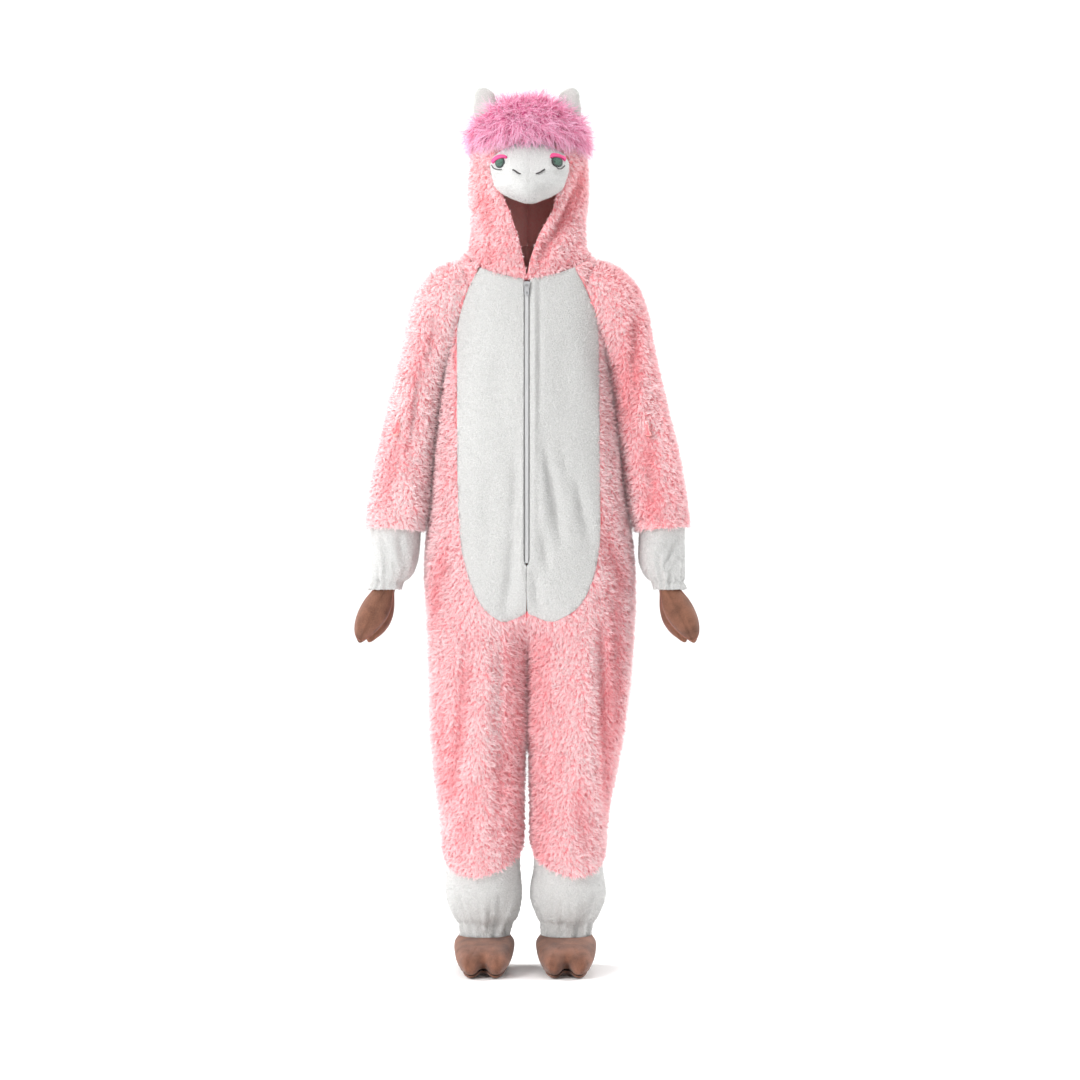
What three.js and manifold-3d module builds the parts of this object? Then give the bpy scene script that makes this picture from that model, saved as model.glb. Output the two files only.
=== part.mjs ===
import * as THREE from "three";
import Module from "manifold-3d";
import { mergeVertices } from "three/addons/utils/BufferGeometryUtils.js";

// An adult's llama onesie in the form it takes when worn, arms a little away from the body.
// Millimetres, +Z up, front towards -Y, the wearer's left towards +X.
// Heights in the tables are above the floor. The group is lowered by SHOULDER_HEIGHT,
// so the origin lies between the shoulders, where the wearer carries the garment.

// Sizes
const SHOULDER_HEIGHT = 1400;
const PLUSH = 6; // pink cloth with its pile pressed flat
const FLEECE = 3;
const SUEDE = 3;
const SEAM = 0.3; // between two pieces at a seam
const SQUARE = 2.3; // how square the body's sections are, 2 being an ellipse
const BELLY_SET_BACK = 3; // fleece lies lower than the plush round it
const CROTCH_TOP = 760; // where the body's section starts to part into legs
const CROTCH = 565;
const NECK_FRONT = 1370;
const NECK_SIDE = 1440;
const NECK_BACK = 1455;
const HOOD_TOP = 1712;
const FACE_CENTRE = 5; // the face sits a little to the wearer's left
const EYE_X = { right: -53, left: 60 };
const EYE_Z = 1591;
const ZIP_TOP = 1365;
const ZIP_END = 811;
const ZIP_SLIT = 6; // half the width between the belly's edges
const TAPE_WIDTH = 9;
const TAPE = 1.2;
const CHAIN_HALF = 3.2;
const CHAIN = 3.3;
const HINGE_Z = 1355; // the pin that the pull tab turns on
const PIN_RADIUS = 1;
const LUG_GAP = 2.9; // half the room between the slider's lugs
const TAB_EYE_RADIUS = 2.6;

// Body sections: half-widths on the wearer's right and left, depths to front and back.
const TORSO = [
  { z: 1462, right: 98, left: 98, front: 96, back: 86 },
  { z: 1440, right: 111, left: 113, front: 98, back: 90 },
  { z: 1424, right: 124, left: 127, front: 99, back: 94 },
  { z: 1400, right: 142, left: 144, front: 101, back: 98 },
  { z: 1360, right: 154, left: 156, front: 104, back: 103 },
  { z: 1300, right: 160, left: 160, front: 115, back: 106 },
  { z: 1200, right: 168, left: 162, front: 132, back: 98 },
  { z: 1136, right: 176, left: 170, front: 142, back: 95 },
  { z: 1048, right: 187, left: 189, front: 148, back: 96 },
  { z: 946, right: 196, left: 198, front: 150, back: 108 },
  { z: 880, right: 199, left: 208, front: 147, back: 125 },
  { z: 800, right: 206, left: 216, front: 143, back: 130 },
  { z: 736, right: 202, left: 217, front: 138, back: 128 },
  { z: 640, right: 199, left: 212, front: 128, back: 118 },
  { z: 560, right: 196, left: 206, front: 118, back: 112 },
];

// Leg sections: outer reach on each side, the inner leg's distance from the middle, depths.
const LEGS = [
  { z: 800, right: 204, left: 215, inner: 1, front: 130, back: 124 },
  { z: 640, right: 199, left: 212, inner: 1, front: 118, back: 112 },
  { z: 560, right: 196, left: 206, inner: 1, front: 110, back: 106 },
  { z: 500, right: 196, left: 200, inner: 1, front: 106, back: 102 },
  { z: 436, right: 194, left: 188, inner: 3.5, front: 102, back: 98 },
  { z: 376, right: 186, left: 177, inner: 5, front: 98, back: 94 },
  { z: 316, right: 177, left: 164, inner: 5.5, front: 94, back: 90 },
  { z: 256, right: 172, left: 160, inner: 6, front: 91, back: 87 },
  { z: 180, right: 167, left: 157, inner: 8, front: 88, back: 84 },
];

// The leg's hem, round from the inner leg by the front to the side, the back and home.
const HEM = [
  { turn: 0, z: 252 },
  { turn: 0.25, z: 214 },
  { turn: 0.55, z: 190 },
  { turn: 0.8, z: 202 },
  { turn: 1, z: 230 },
  { turn: 1.5, z: 222 },
  { turn: 2, z: 252 },
];

// Folds of the body: a trough (or, with a negative depth, a ridge) from its top to its
// bottom, on the front or back. x runs towards the wearer's left.
const FOLDS = [
  { face: "front", topX: -34, topZ: 1060, endX: -44, endZ: 730, width: 12, depth: 6 },
  { face: "front", topX: 38, topZ: 1080, endX: 72, endZ: 830, width: 13, depth: 7 },
  { face: "front", topX: 62, topZ: 1080, endX: 122, endZ: 850, width: 14, depth: 6 },
  { face: "front", topX: -116, topZ: 700, endX: -152, endZ: 270, width: 13, depth: 7 },
  { face: "front", topX: 144, topZ: 690, endX: 158, endZ: 400, width: 12, depth: 8 },
  { face: "front", topX: 60, topZ: 560, endX: 74, endZ: 330, width: 14, depth: 4 },
  { face: "front", topX: -60, topZ: 600, endX: -48, endZ: 360, width: 14, depth: 4 },
  { face: "back", topX: -70, topZ: 1120, endX: -96, endZ: 800, width: 15, depth: 7 },
  { face: "back", topX: 64, topZ: 1150, endX: 104, endZ: 830, width: 15, depth: 7 },
  { face: "back", topX: -108, topZ: 680, endX: -126, endZ: 330, width: 14, depth: 6 },
  { face: "back", topX: 112, topZ: 690, endX: 120, endZ: 350, width: 14, depth: 6 },
];

// The white belly's edge: its half-width on each side.
const BELLY = [
  { z: 1420, right: 96, left: 100 },
  { z: 1392, right: 93, left: 96 },
  { z: 1374, right: 107, left: 106 },
  { z: 1336, right: 122, left: 124 },
  { z: 1300, right: 133, left: 138 },
  { z: 1266, right: 139, left: 143 },
  { z: 1200, right: 138, left: 144 },
  { z: 1000, right: 137, left: 144 },
  { z: 880, right: 133, left: 145 },
  { z: 816, right: 124, left: 140 },
  { z: 756, right: 105, left: 122 },
  { z: 720, right: 84, left: 98 },
  { z: 700, right: 60, left: 66 },
  { z: 694, right: 44, left: 46 },
  { z: 702, right: 20, left: 24 },
  { z: 712, right: 0, left: 0 },
];

// Sleeves along their middle line: distance from the body's middle and half-width on each
// side, then height, depth position and half-depth.
const SLEEVE = [
  { rightX: 96, leftX: 96, right: 57, left: 57, y: 0, z: 1346, depth: 74 },
  { rightX: 138, leftX: 141, right: 61, left: 61, y: 0, z: 1346, depth: 77 },
  { rightX: 172, leftX: 177, right: 58, left: 60, y: -2, z: 1317, depth: 77 },
  { rightX: 196, leftX: 202, right: 50, left: 50, y: -4, z: 1252, depth: 75 },
  { rightX: 219, leftX: 222, right: 46, left: 46, y: -6, z: 1180, depth: 73 },
  { rightX: 235, leftX: 236, right: 48, left: 50, y: -9, z: 1100, depth: 72 },
  { rightX: 249, leftX: 252, right: 54, left: 53, y: -13, z: 1020, depth: 71 },
  { rightX: 260, leftX: 265, right: 58, left: 55, y: -18, z: 940, depth: 70 },
  { rightX: 264, leftX: 270, right: 61, left: 56, y: -21, z: 880, depth: 71 },
];

// The sleeve is one cut, and its solid is in two parts that meet at this height.
const ELBOW = 1066;

// Sleeve folds: troughs along the sleeve at an angle from its outer edge round by the
// front. Places run along the sleeve's table rows.
const SLEEVE_FOLDS = [
  { side: 1, from: 2.4, to: 5.6, angle: 62, swing: 6, width: 13, depth: 8 },
  { side: 1, from: 4.4, to: 7.1, angle: 112, swing: -14, width: 15, depth: 5 },
  { side: -1, from: 2.6, to: 5.0, angle: 118, swing: -8, width: 14, depth: 7 },
  { side: -1, from: 4.4, to: 7.1, angle: 82, swing: 16, width: 15, depth: 5 },
  { side: 1, from: 3.0, to: 6.4, angle: 250, swing: 12, width: 15, depth: 6 },
  { side: -1, from: 3.0, to: 6.4, angle: 256, swing: -10, width: 15, depth: 6 },
];

// Cuffs, from the row sewn inside the sleeve to the frill past the drawn-in wrist.
// gather is the height of the gathers' waves.
const CUFF = [
  { rightX: 262, leftX: 269, right: 52, left: 46.6, y: -20, z: 912, depth: 61.4, gather: 0 },
  { rightX: 262, leftX: 269, right: 50.5, left: 45, y: -21, z: 868, depth: 60, gather: 0.4 },
  { rightX: 261, leftX: 267, right: 46, left: 47, y: -28, z: 816, depth: 54, gather: 1.2 },
  { rightX: 268, leftX: 272, right: 40, left: 40, y: -32, z: 788, depth: 46, gather: 2 },
  { rightX: 279.5, leftX: 280, right: 30.5, left: 30.5, y: -36, z: 770, depth: 36, gather: 1.4 },
  { rightX: 284, leftX: 284, right: 31, left: 31, y: -37, z: 758, depth: 36, gather: 1.4 },
];

// Lower legs, from the row sewn inside the plush leg to the foot inside the boot.
const LOWER_LEG = [
  { rightX: 88.5, leftX: 82.5, right: 74.4, left: 70.1, y: -2, z: 264, depth: 77.8, gather: 0 },
  { rightX: 88, leftX: 82.5, right: 74, left: 67, y: -2, z: 204, depth: 76, gather: 0 },
  { rightX: 86.5, leftX: 82, right: 76, left: 75, y: -1, z: 172, depth: 78, gather: 0.6 },
  { rightX: 86, leftX: 82, right: 77, left: 78, y: 0, z: 142, depth: 79, gather: 1.2 },
  { rightX: 84, leftX: 81, right: 68, left: 64, y: 3, z: 108, depth: 72, gather: 2.2 },
  { rightX: 84, leftX: 78, right: 51, left: 50, y: 7, z: 87, depth: 55, gather: 2 },
  { rightX: 85, leftX: 78, right: 47.6, left: 47.6, y: 8, z: 68, depth: 50.6, gather: 0 },
  { rightX: 85, leftX: 78, right: 47.6, left: 47.6, y: 8, z: 47, depth: 50.6, gather: 0 },
];
const GATHERS = 8;

// Boots: half-width, reach of the toe and heel, how deep the cleft between the toes is, and
// how square the toe is, 2 being an ellipse.
const BOOT = [
  { z: 9, half: 44, toe: 172, heel: 62, cleft: 30, square: 3.6 },
  { z: 18, half: 51, toe: 184, heel: 70, cleft: 34, square: 3.6 },
  { z: 31, half: 58, toe: 184, heel: 74, cleft: 30, square: 3.4 },
  { z: 44, half: 61, toe: 168, heel: 73, cleft: 20, square: 3.2 },
  { z: 54, half: 61, toe: 136, heel: 69, cleft: 9, square: 2.9 },
  { z: 61, half: 56, toe: 86, heel: 64, cleft: 2, square: 2.6 },
  { z: 67, half: 51, toe: 46, heel: 62, cleft: 0, square: 2.5 },
];
const BOOT_CENTRE = { right: 85, left: 78, y: 8 };

// Mitts: one hoof lobe along its middle line. spread is half the distance between lobes.
const LOBE = [
  { x: 278, z: 776, half: 22.6, depth: 14.2, spread: 14.6 },
  { x: 284, z: 757, half: 22.6, depth: 14.2, spread: 14.6 },
  { x: 291, z: 744, half: 27, depth: 17, spread: 18 },
  { x: 299, z: 722, half: 33, depth: 22, spread: 23 },
  { x: 308, z: 700, half: 33, depth: 23, spread: 24 },
  { x: 318, z: 678, half: 25, depth: 18, spread: 21 },
  { x: 327, z: 660, half: 12, depth: 9, spread: 16 },
  { x: 331, z: 652, half: 3, depth: 2.5, spread: 14 },
];
const LOBE_Y = -36.4;
const BACK_LOBE_SHIFT = 17; // the back lobe lies this much nearer the body at its tip

// Hood sections above the neck seam.
const HOOD = [
  { z: 1711, right: 6, left: 6, front: 6, back: 6 },
  { z: 1704, right: 50, left: 52, front: 52, back: 50 },
  { z: 1690, right: 80, left: 83, front: 80, back: 80 },
  { z: 1660, right: 102, left: 106, front: 106, back: 106 },
  { z: 1616, right: 114, left: 121, front: 119, back: 118 },
  { z: 1576, right: 118, left: 124, front: 121, back: 121 },
  { z: 1536, right: 118, left: 123, front: 118, back: 116 },
  { z: 1504, right: 111, left: 115, front: 114, back: 106 },
  { z: 1472, right: 102, left: 104, front: 109, back: 94 },
  { z: 1440, right: 104, left: 104, front: 105, back: 89 },
  { z: 1370, right: 108, left: 108, front: 102, back: 88 },
];

// The face opening, a V that closes at the neck: its edges right and left of the middle.
const OPENING = [
  { z: 1562, right: -54, left: 64 },
  { z: 1548, right: -54, left: 64 },
  { z: 1504, right: -36, left: 52 },
  { z: 1448, right: -16, left: 21 },
  { z: 1400, right: -5, left: 5 },
  { z: 1366, right: -0.3, left: 0.3 },
];

// The stuffed face: half-width and how far it stands forward.
const FACE = [
  { z: 1640, half: 24, front: 118 },
  { z: 1630, half: 56, front: 130 },
  { z: 1616, half: 74, front: 144 },
  { z: 1598, half: 83, front: 160 },
  { z: 1574, half: 79, front: 187 },
  { z: 1552, half: 69, front: 206 },
  { z: 1537, half: 58, front: 212 },
  { z: 1524, half: 40, front: 208 },
  { z: 1514, half: 22, front: 200 },
  { z: 1508, half: 8, front: 190 },
];
const FACE_BACK = 60;

// The mane: half-widths, front and back, out to the ends of its pile.
const MANE = [
  { z: 1742, right: 26, left: 26, front: 30, back: 20 },
  { z: 1736, right: 58, left: 60, front: 72, back: 46 },
  { z: 1722, right: 88, left: 92, front: 108, back: 80 },
  { z: 1700, right: 112, left: 116, front: 134, back: 106 },
  { z: 1676, right: 127, left: 128, front: 148, back: 118 },
  { z: 1652, right: 121, left: 128, front: 154, back: 122 },
  { z: 1636, right: 117, left: 126, front: 140, back: 123 },
];

// An ear: width and thickness up to its tip.
const EAR = [
  { z: 1650, half: 20, depth: 9, lean: -6 },
  { z: 1690, half: 26, depth: 9, lean: 0 },
  { z: 1716, half: 25, depth: 8.5, lean: 2 },
  { z: 1738, half: 18, depth: 7, lean: 5 },
  { z: 1750, half: 10, depth: 5.5, lean: 7 },
  { z: 1756, half: 3, depth: 4, lean: 8 },
];
const EAR_X = 85;
const EAR_Y = -30;

const wasm = await Module();
wasm.setup();

// Numbers between the rows of a table

function easeBetween(before, a, b, after, key, column, t) {
  const span = b[key] - a[key];
  const slopeA = (b[column] - before[column]) / (b[key] - before[key]);
  const slopeB = (after[column] - a[column]) / (after[key] - a[key]);
  const t2 = t * t;
  const t3 = t2 * t;
  return (
    a[column] * (2 * t3 - 3 * t2 + 1) +
    b[column] * (3 * t2 - 2 * t3) +
    slopeA * span * (t3 - 2 * t2 + t) +
    slopeB * span * (t3 - t2)
  );
}

// The column's value where the key column has this value; the key may rise or fall.
function read(table, column, value, key = "z") {
  const last = table.length - 1;
  const way = Math.sign(table[last][key] - table[0][key]);
  if ((value - table[0][key]) * way <= 0) return table[0][column];
  if ((value - table[last][key]) * way >= 0) return table[last][column];
  let i = 0;
  while ((value - table[i + 1][key]) * way > 0) i += 1;
  const t = (value - table[i][key]) / (table[i + 1][key] - table[i][key]);
  const before = table[Math.max(i - 1, 0)];
  const after = table[Math.min(i + 2, last)];
  return easeBetween(before, table[i], table[i + 1], after, key, column, t);
}

// The column's value at a place along the rows, 0 being the first row.
function along(table, column, place) {
  const last = table.length - 1;
  const i = Math.min(Math.floor(place), last - 1);
  const t = place - i;
  const p0 = table[Math.max(i - 1, 0)][column];
  const p1 = table[i][column];
  const p2 = table[i + 1][column];
  const p3 = table[Math.min(i + 2, last)][column];
  const curve = p2 - p0 + t * (2 * p0 - 5 * p1 + 4 * p2 - p3 + t * (3 * (p1 - p2) + p3 - p0));
  return p1 + 0.5 * t * curve;
}

const smooth = (t) => {
  const u = Math.min(Math.max(t, 0), 1);
  return u * u * (3 - 2 * u);
};
const signedPower = (value, power) => Math.sign(value) * Math.abs(value) ** power;
const sideName = (side) => (side < 0 ? "right" : "left");

// Closed solids from rows of points

function geometryOf(positions, index) {
  let volume = 0;
  const a = new THREE.Vector3();
  const b = new THREE.Vector3();
  const c = new THREE.Vector3();
  for (let i = 0; i < index.length; i += 3) {
    a.fromArray(positions, 3 * index[i]);
    b.fromArray(positions, 3 * index[i + 1]);
    c.fromArray(positions, 3 * index[i + 2]);
    volume += a.dot(b.cross(c));
  }
  if (volume < 0) index.reverse();
  const geometry = new THREE.BufferGeometry();
  geometry.setAttribute("position", new THREE.Float32BufferAttribute(positions, 3));
  geometry.setIndex(index);
  geometry.computeVertexNormals();
  return geometry;
}

// A wall between an outer and an inner sheet of points. A loop's rows close on themselves.
function wallBetween(outer, inner, loop) {
  const rows = outer.length;
  const columns = outer[0].length;
  const positions = [];
  for (const sheet of [outer, inner]) {
    for (const row of sheet) {
      for (const point of row) positions.push(point.x, point.y, point.z);
    }
  }
  const id = (layer, i, j) => (layer * rows + i) * columns + (j % columns);
  const index = [];
  const quad = (a, b, c, d) => index.push(a, b, c, a, c, d);
  const spans = loop ? columns : columns - 1;
  for (let j = 0; j < spans; j += 1) {
    for (let i = 0; i + 1 < rows; i += 1) {
      quad(id(0, i, j), id(0, i + 1, j), id(0, i + 1, j + 1), id(0, i, j + 1));
      quad(id(1, i, j), id(1, i, j + 1), id(1, i + 1, j + 1), id(1, i + 1, j));
    }
    quad(id(0, 0, j), id(0, 0, j + 1), id(1, 0, j + 1), id(1, 0, j));
    const end = rows - 1;
    quad(id(0, end, j + 1), id(0, end, j), id(1, end, j), id(1, end, j + 1));
  }
  if (!loop) {
    for (let i = 0; i + 1 < rows; i += 1) {
      const end = columns - 1;
      quad(id(0, i + 1, 0), id(0, i, 0), id(1, i, 0), id(1, i + 1, 0));
      quad(id(0, i, end), id(0, i + 1, end), id(1, i + 1, end), id(1, i, end));
    }
  }
  return geometryOf(positions, index);
}

// A filled body through closed rings, with a flat fan over each end.
function loft(rings) {
  const columns = rings[0].length;
  const positions = [];
  for (const ring of rings) {
    for (const point of ring) positions.push(point.x, point.y, point.z);
  }
  const index = [];
  for (let i = 0; i + 1 < rings.length; i += 1) {
    for (let j = 0; j < columns; j += 1) {
      const a = i * columns + j;
      const b = i * columns + ((j + 1) % columns);
      index.push(a, a + columns, b + columns, a, b + columns, b);
    }
  }
  const cap = (ring, first, flip) => {
    const middle = new THREE.Vector3();
    for (const point of ring) middle.addScaledVector(point, 1 / columns);
    const centre = positions.length / 3;
    positions.push(middle.x, middle.y, middle.z);
    for (let j = 0; j < columns; j += 1) {
      const a = first + j;
      const b = first + ((j + 1) % columns);
      if (flip) index.push(centre, b, a);
      else index.push(centre, a, b);
    }
  };
  cap(rings[0], 0, false);
  cap(rings[rings.length - 1], (rings.length - 1) * columns, true);
  return geometryOf(positions, index);
}

function solid(geometry) {
  const bare = geometry.clone();
  bare.deleteAttribute("normal");
  if (bare.getAttribute("uv")) bare.deleteAttribute("uv");
  const merged = mergeVertices(bare, 1e-4);
  const vertProperties = new Float32Array(merged.getAttribute("position").array);
  const triVerts = new Uint32Array(merged.getIndex().array);
  return new wasm.Manifold(new wasm.Mesh({ numProp: 3, vertProperties, triVerts }));
}

function geometryFrom(body) {
  const mesh = body.getMesh();
  const positions = Array.from(mesh.vertProperties);
  return geometryOf(positions, Array.from(mesh.triVerts));
}

// The surface normal of a function of two variables, turned to face away from a centre.
function normalOf(surface, u, v, stepU, stepV) {
  const du = surface(u + stepU, v).sub(surface(u - stepU, v));
  const dv = surface(u, v + stepV).sub(surface(u, v - stepV));
  return du.cross(dv).normalize();
}

// Body and legs

// One half of the body's skin. turn runs from 0 at the front's middle (and the inner leg)
// over 1 at the side seam to 2 at the back's middle.
function plainBody(side, turn, z) {
  const name = sideName(side);
  const quarter = (turn * Math.PI) / 2;
  const facing = turn < 1 ? "front" : "back";
  const power = 2 / SQUARE;
  const torsoX = read(TORSO, name, z) * signedPower(Math.sin(quarter), power);
  const torsoY = -read(TORSO, facing, z) * signedPower(Math.cos(quarter), power);
  const outer = read(LEGS, name, z);
  const inner = read(LEGS, "inner", z);
  const legX = (outer + inner) / 2 - ((outer - inner) / 2) * Math.cos(turn * Math.PI);
  const legY = -read(LEGS, facing, z) * Math.sin(turn * Math.PI);
  const share = smooth((CROTCH_TOP - z) / (CROTCH_TOP - CROTCH));
  const x = torsoX + (legX - torsoX) * share;
  return new THREE.Vector3(side * x, torsoY + (legY - torsoY) * share, z);
}

function foldDepth(face, x, z) {
  let depth = 0;
  for (const fold of FOLDS) {
    if (fold.face !== face || z > fold.topZ || z < fold.endZ) continue;
    const t = (fold.topZ - z) / (fold.topZ - fold.endZ);
    const middle = fold.topX + (fold.endX - fold.topX) * t;
    const off = (x - middle) / fold.width;
    depth += fold.depth * Math.exp(-off * off) * Math.sqrt(Math.sin(Math.PI * t));
  }
  return depth;
}

function body(side, turn, z, lift = 0) {
  const point = plainBody(side, turn, z);
  const across = plainBody(side, turn + 0.01, z).sub(plainBody(side, turn - 0.01, z));
  const out = new THREE.Vector3(across.y, -across.x, 0).normalize().multiplyScalar(side);
  const face = turn < 1 ? "front" : "back";
  return point.addScaledVector(out, lift - foldDepth(face, point.x, z));
}

const neckHeight = (turn) =>
  turn < 1
    ? NECK_FRONT + (NECK_SIDE - NECK_FRONT) * turn ** 1.2
    : NECK_SIDE + (NECK_BACK - NECK_SIDE) * (turn - 1);

// Places of a panel's columns, closer together towards the middle than at the side seam.
const FRONT_COLUMNS = 14;
const BACK_COLUMNS = 9;
const CROWDING = 1.25;
function panelTurns(face) {
  const count = face === "front" ? FRONT_COLUMNS : BACK_COLUMNS;
  const turns = [];
  for (let j = 0; j <= count; j += 1) turns.push((j / count) ** CROWDING);
  return face === "front" ? turns : turns.map((turn) => 2 - turn).reverse();
}
const TOP_ROWS = 3;
const END_ROWS = 2;
const FORM_ROWS = 9; // as many of the panels' rows as the sleeves reach down

// Heights of a panel's rows between its ends, closest together at the crotch.
const ROW_HEIGHTS = [
  1290, 1190, 1085, 975, 870, 800, 750, 710, 672, 636, 600, 560, 480, 390, 300,
];
function columnHeights(turn) {
  const top = neckHeight(turn) - SEAM / 2;
  const end = read(HEM, "z", turn, "turn");
  const heights = [];
  const first = ROW_HEIGHTS[0];
  const last = ROW_HEIGHTS[ROW_HEIGHTS.length - 1];
  for (let i = 0; i < TOP_ROWS; i += 1) heights.push(top + ((first - top) * i) / TOP_ROWS);
  heights.push(...ROW_HEIGHTS.slice(0, -1));
  for (let i = 0; i <= END_ROWS; i += 1) {
    heights.push(last + ((end - last) * i) / END_ROWS);
  }
  return heights;
}

// A panel of the body, front or back, half a seam in from its two sides.
function bodyPanel(side, face, lift, thickness) {
  const surface = (u, v) => body(side, u, v, lift);
  const turns = panelTurns(face);
  const outer = [];
  const inner = [];
  turns.forEach((turn, j) => {
    columnHeights(turn).forEach((z, i) => {
      const point = surface(turn, z);
      const normal = normalOf(surface, turn, z, 0.01, 3).multiplyScalar(side);
      const across = surface(turn + 0.01, z).sub(surface(turn - 0.01, z)).normalize();
      if (j === 0) point.addScaledVector(across, SEAM / 2);
      if (j === turns.length - 1) point.addScaledVector(across, -SEAM / 2);
      const atMiddle = (turn === 0 || turn === 2) && z > CROTCH_TOP;
      if (atMiddle) normal.setX(0).normalize();
      outer[i] = outer[i] ?? [];
      inner[i] = inner[i] ?? [];
      outer[i][j] = point;
      inner[i][j] = point.clone().addScaledVector(normal, -thickness);
    });
  });
  return solid(wallBetween(outer, inner, false));
}

// The filled form of one half of the upper body, through the panels' own points.
function bodyForm(side, lift) {
  const turns = [...panelTurns("front"), ...panelTurns("back").slice(1)];
  const rings = [];
  for (let i = 0; i < FORM_ROWS; i += 1) {
    rings.push(
      turns.map((turn) => {
        const z = columnHeights(turn)[i];
        return body(side, turn, i === 0 ? z + 2 : z, lift);
      }),
    );
  }
  return solid(loft(rings));
}

// A prism along Y with the belly's outline, moved inwards by a margin.
function bellyPrism(margin) {
  const edge = (side) =>
    BELLY.map((row) => {
      const half = row[sideName(side)];
      const inset = half === 0 ? 0 : margin;
      const rise = row.z < 900 ? margin : 0;
      return new THREE.Vector2(side * Math.max(half - inset, 0), row.z + rise);
    });
  const right = new THREE.SplineCurve(edge(-1)).getPoints(34);
  const left = new THREE.SplineCurve(edge(1)).getPoints(34).reverse().slice(1);
  const shape = new THREE.Shape([...right, ...left]);
  const depth = 370;
  const prism = new THREE.ExtrudeGeometry(shape, { depth, bevelEnabled: false });
  prism.rotateX(Math.PI / 2);
  prism.translate(0, -30, 0);
  return solid(prism);
}

// Sleeves

const SLEEVE_ROWS = 13;
const SLEEVE_ROUND = 16;

function sleevePoint(side, place, angle, inset) {
  const name = sideName(side);
  const x = along(SLEEVE, name + "X", place);
  const z = along(SLEEVE, "z", place);
  const ahead = Math.min(place + 0.05, SLEEVE.length - 1);
  const behind = Math.max(place - 0.05, 0);
  const run = along(SLEEVE, name + "X", ahead) - along(SLEEVE, name + "X", behind);
  const fall = along(SLEEVE, "z", behind) - along(SLEEVE, "z", ahead);
  const length = Math.hypot(run, fall);
  let dent = 0;
  for (const fold of SLEEVE_FOLDS) {
    if (fold.side !== side || place < fold.from || place > fold.to) continue;
    const t = (place - fold.from) / (fold.to - fold.from);
    const off = ((angle * 180) / Math.PI - fold.angle - fold.swing * t) / fold.width;
    dent += fold.depth * Math.exp(-off * off) * Math.sqrt(Math.sin(Math.PI * t));
  }
  const half = along(SLEEVE, name, place) - inset - dent;
  const depth = along(SLEEVE, "depth", place) - inset - dent;
  const reach = half * Math.cos(angle);
  return new THREE.Vector3(
    side * (x + (reach * fall) / length),
    along(SLEEVE, "y", place) - depth * Math.sin(angle),
    z + (reach * run) / length,
  );
}

function sleeveRings(side, inset, rows, round) {
  const rings = [];
  for (let i = 0; i <= rows; i += 1) {
    const ring = [];
    for (let j = 0; j < round; j += 1) {
      const place = ((SLEEVE.length - 1) * i) / rows;
      ring.push(sleevePoint(side, place, (2 * Math.PI * j) / round, inset));
    }
    rings.push(ring);
  }
  return rings;
}

// Tubes that are upright: cuffs and lower legs

const TUBE_ROUND = 24;
function tubeRings(table, side, inset) {
  const name = sideName(side);
  return table.map((row) => {
    const ring = [];
    for (let j = 0; j < TUBE_ROUND; j += 1) {
      const angle = (2 * Math.PI * j) / TUBE_ROUND;
      const wave = row.gather * Math.cos(GATHERS * angle) - inset;
      const x = side * (row[name + "X"] + (row[name] + wave) * Math.cos(angle));
      const y = row.y - (row.depth + wave) * Math.sin(angle);
      ring.push(new THREE.Vector3(x, y, row.z));
    }
    return ring;
  });
}

// Boots

const BOOT_ROUND = 24;
function bootRing(side, z, inset) {
  const half = read(BOOT, "half", z) - inset;
  const toe = read(BOOT, "toe", z) - inset;
  const heel = read(BOOT, "heel", z) - inset;
  const cleft = read(BOOT, "cleft", z);
  const ring = [];
  for (let j = 0; j < BOOT_ROUND; j += 1) {
    const angle = (2 * Math.PI * j) / BOOT_ROUND;
    const off = Math.atan2(Math.sin(angle), Math.cos(angle)) / 0.2;
    const notch = cleft * Math.exp(-off * off);
    const power = 2 / (Math.cos(angle) > 0 ? read(BOOT, "square", z) : 2.5);
    const x = half * signedPower(Math.sin(angle), power);
    const forward = signedPower(Math.cos(angle), power);
    const reach = forward > 0 ? toe + BOOT_CENTRE.y - notch : heel - BOOT_CENTRE.y;
    const centre = BOOT_CENTRE[sideName(side)];
    ring.push(new THREE.Vector3(side * centre + x, BOOT_CENTRE.y - forward * reach, z));
  }
  return ring;
}

const bootRings = (side, inset) => BOOT.map((row) => bootRing(side, row.z, inset));

// Mitts

const LOBE_ROUND = 10;
function lobeRings(side, back, inset) {
  const rings = [];
  for (let place = 0; place < LOBE.length; place += 1) {
    const shift = back ? BACK_LOBE_SHIFT * smooth((place - 2) / 4) : 0;
    const half = Math.max(along(LOBE, "half", place) - inset, 1);
    const depth = Math.max(along(LOBE, "depth", place) - inset, 1);
    const spread = along(LOBE, "spread", place) * (back ? 1 : -1);
    const ring = [];
    for (let j = 0; j < LOBE_ROUND; j += 1) {
      const angle = (2 * Math.PI * j) / LOBE_ROUND;
      const x = along(LOBE, "x", place) - shift + half * Math.cos(angle);
      const y = LOBE_Y + spread - depth * Math.sin(angle);
      ring.push(new THREE.Vector3(side * x, y, along(LOBE, "z", place)));
    }
    rings.push(ring);
  }
  return rings;
}

function lobe(side, back) {
  const outside = solid(loft(lobeRings(side, back, 0)));
  const rings = lobeRings(side, back, SUEDE);
  const mouth = rings[0].map((point) => point.clone().setZ(point.z + 10));
  return outside.subtract(solid(loft([mouth, ...rings.slice(0, -1)])));
}

// Hood

function hoodSection(side, turn, z) {
  const name = sideName(side);
  const quarter = (turn * Math.PI) / 2;
  const facing = turn < 1 ? "front" : "back";
  const x = read(HOOD, name, z) * signedPower(Math.sin(quarter), 0.92);
  const y = -read(HOOD, facing, z) * signedPower(Math.cos(quarter), 0.92);
  return new THREE.Vector3(side * x, y, z);
}

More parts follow.
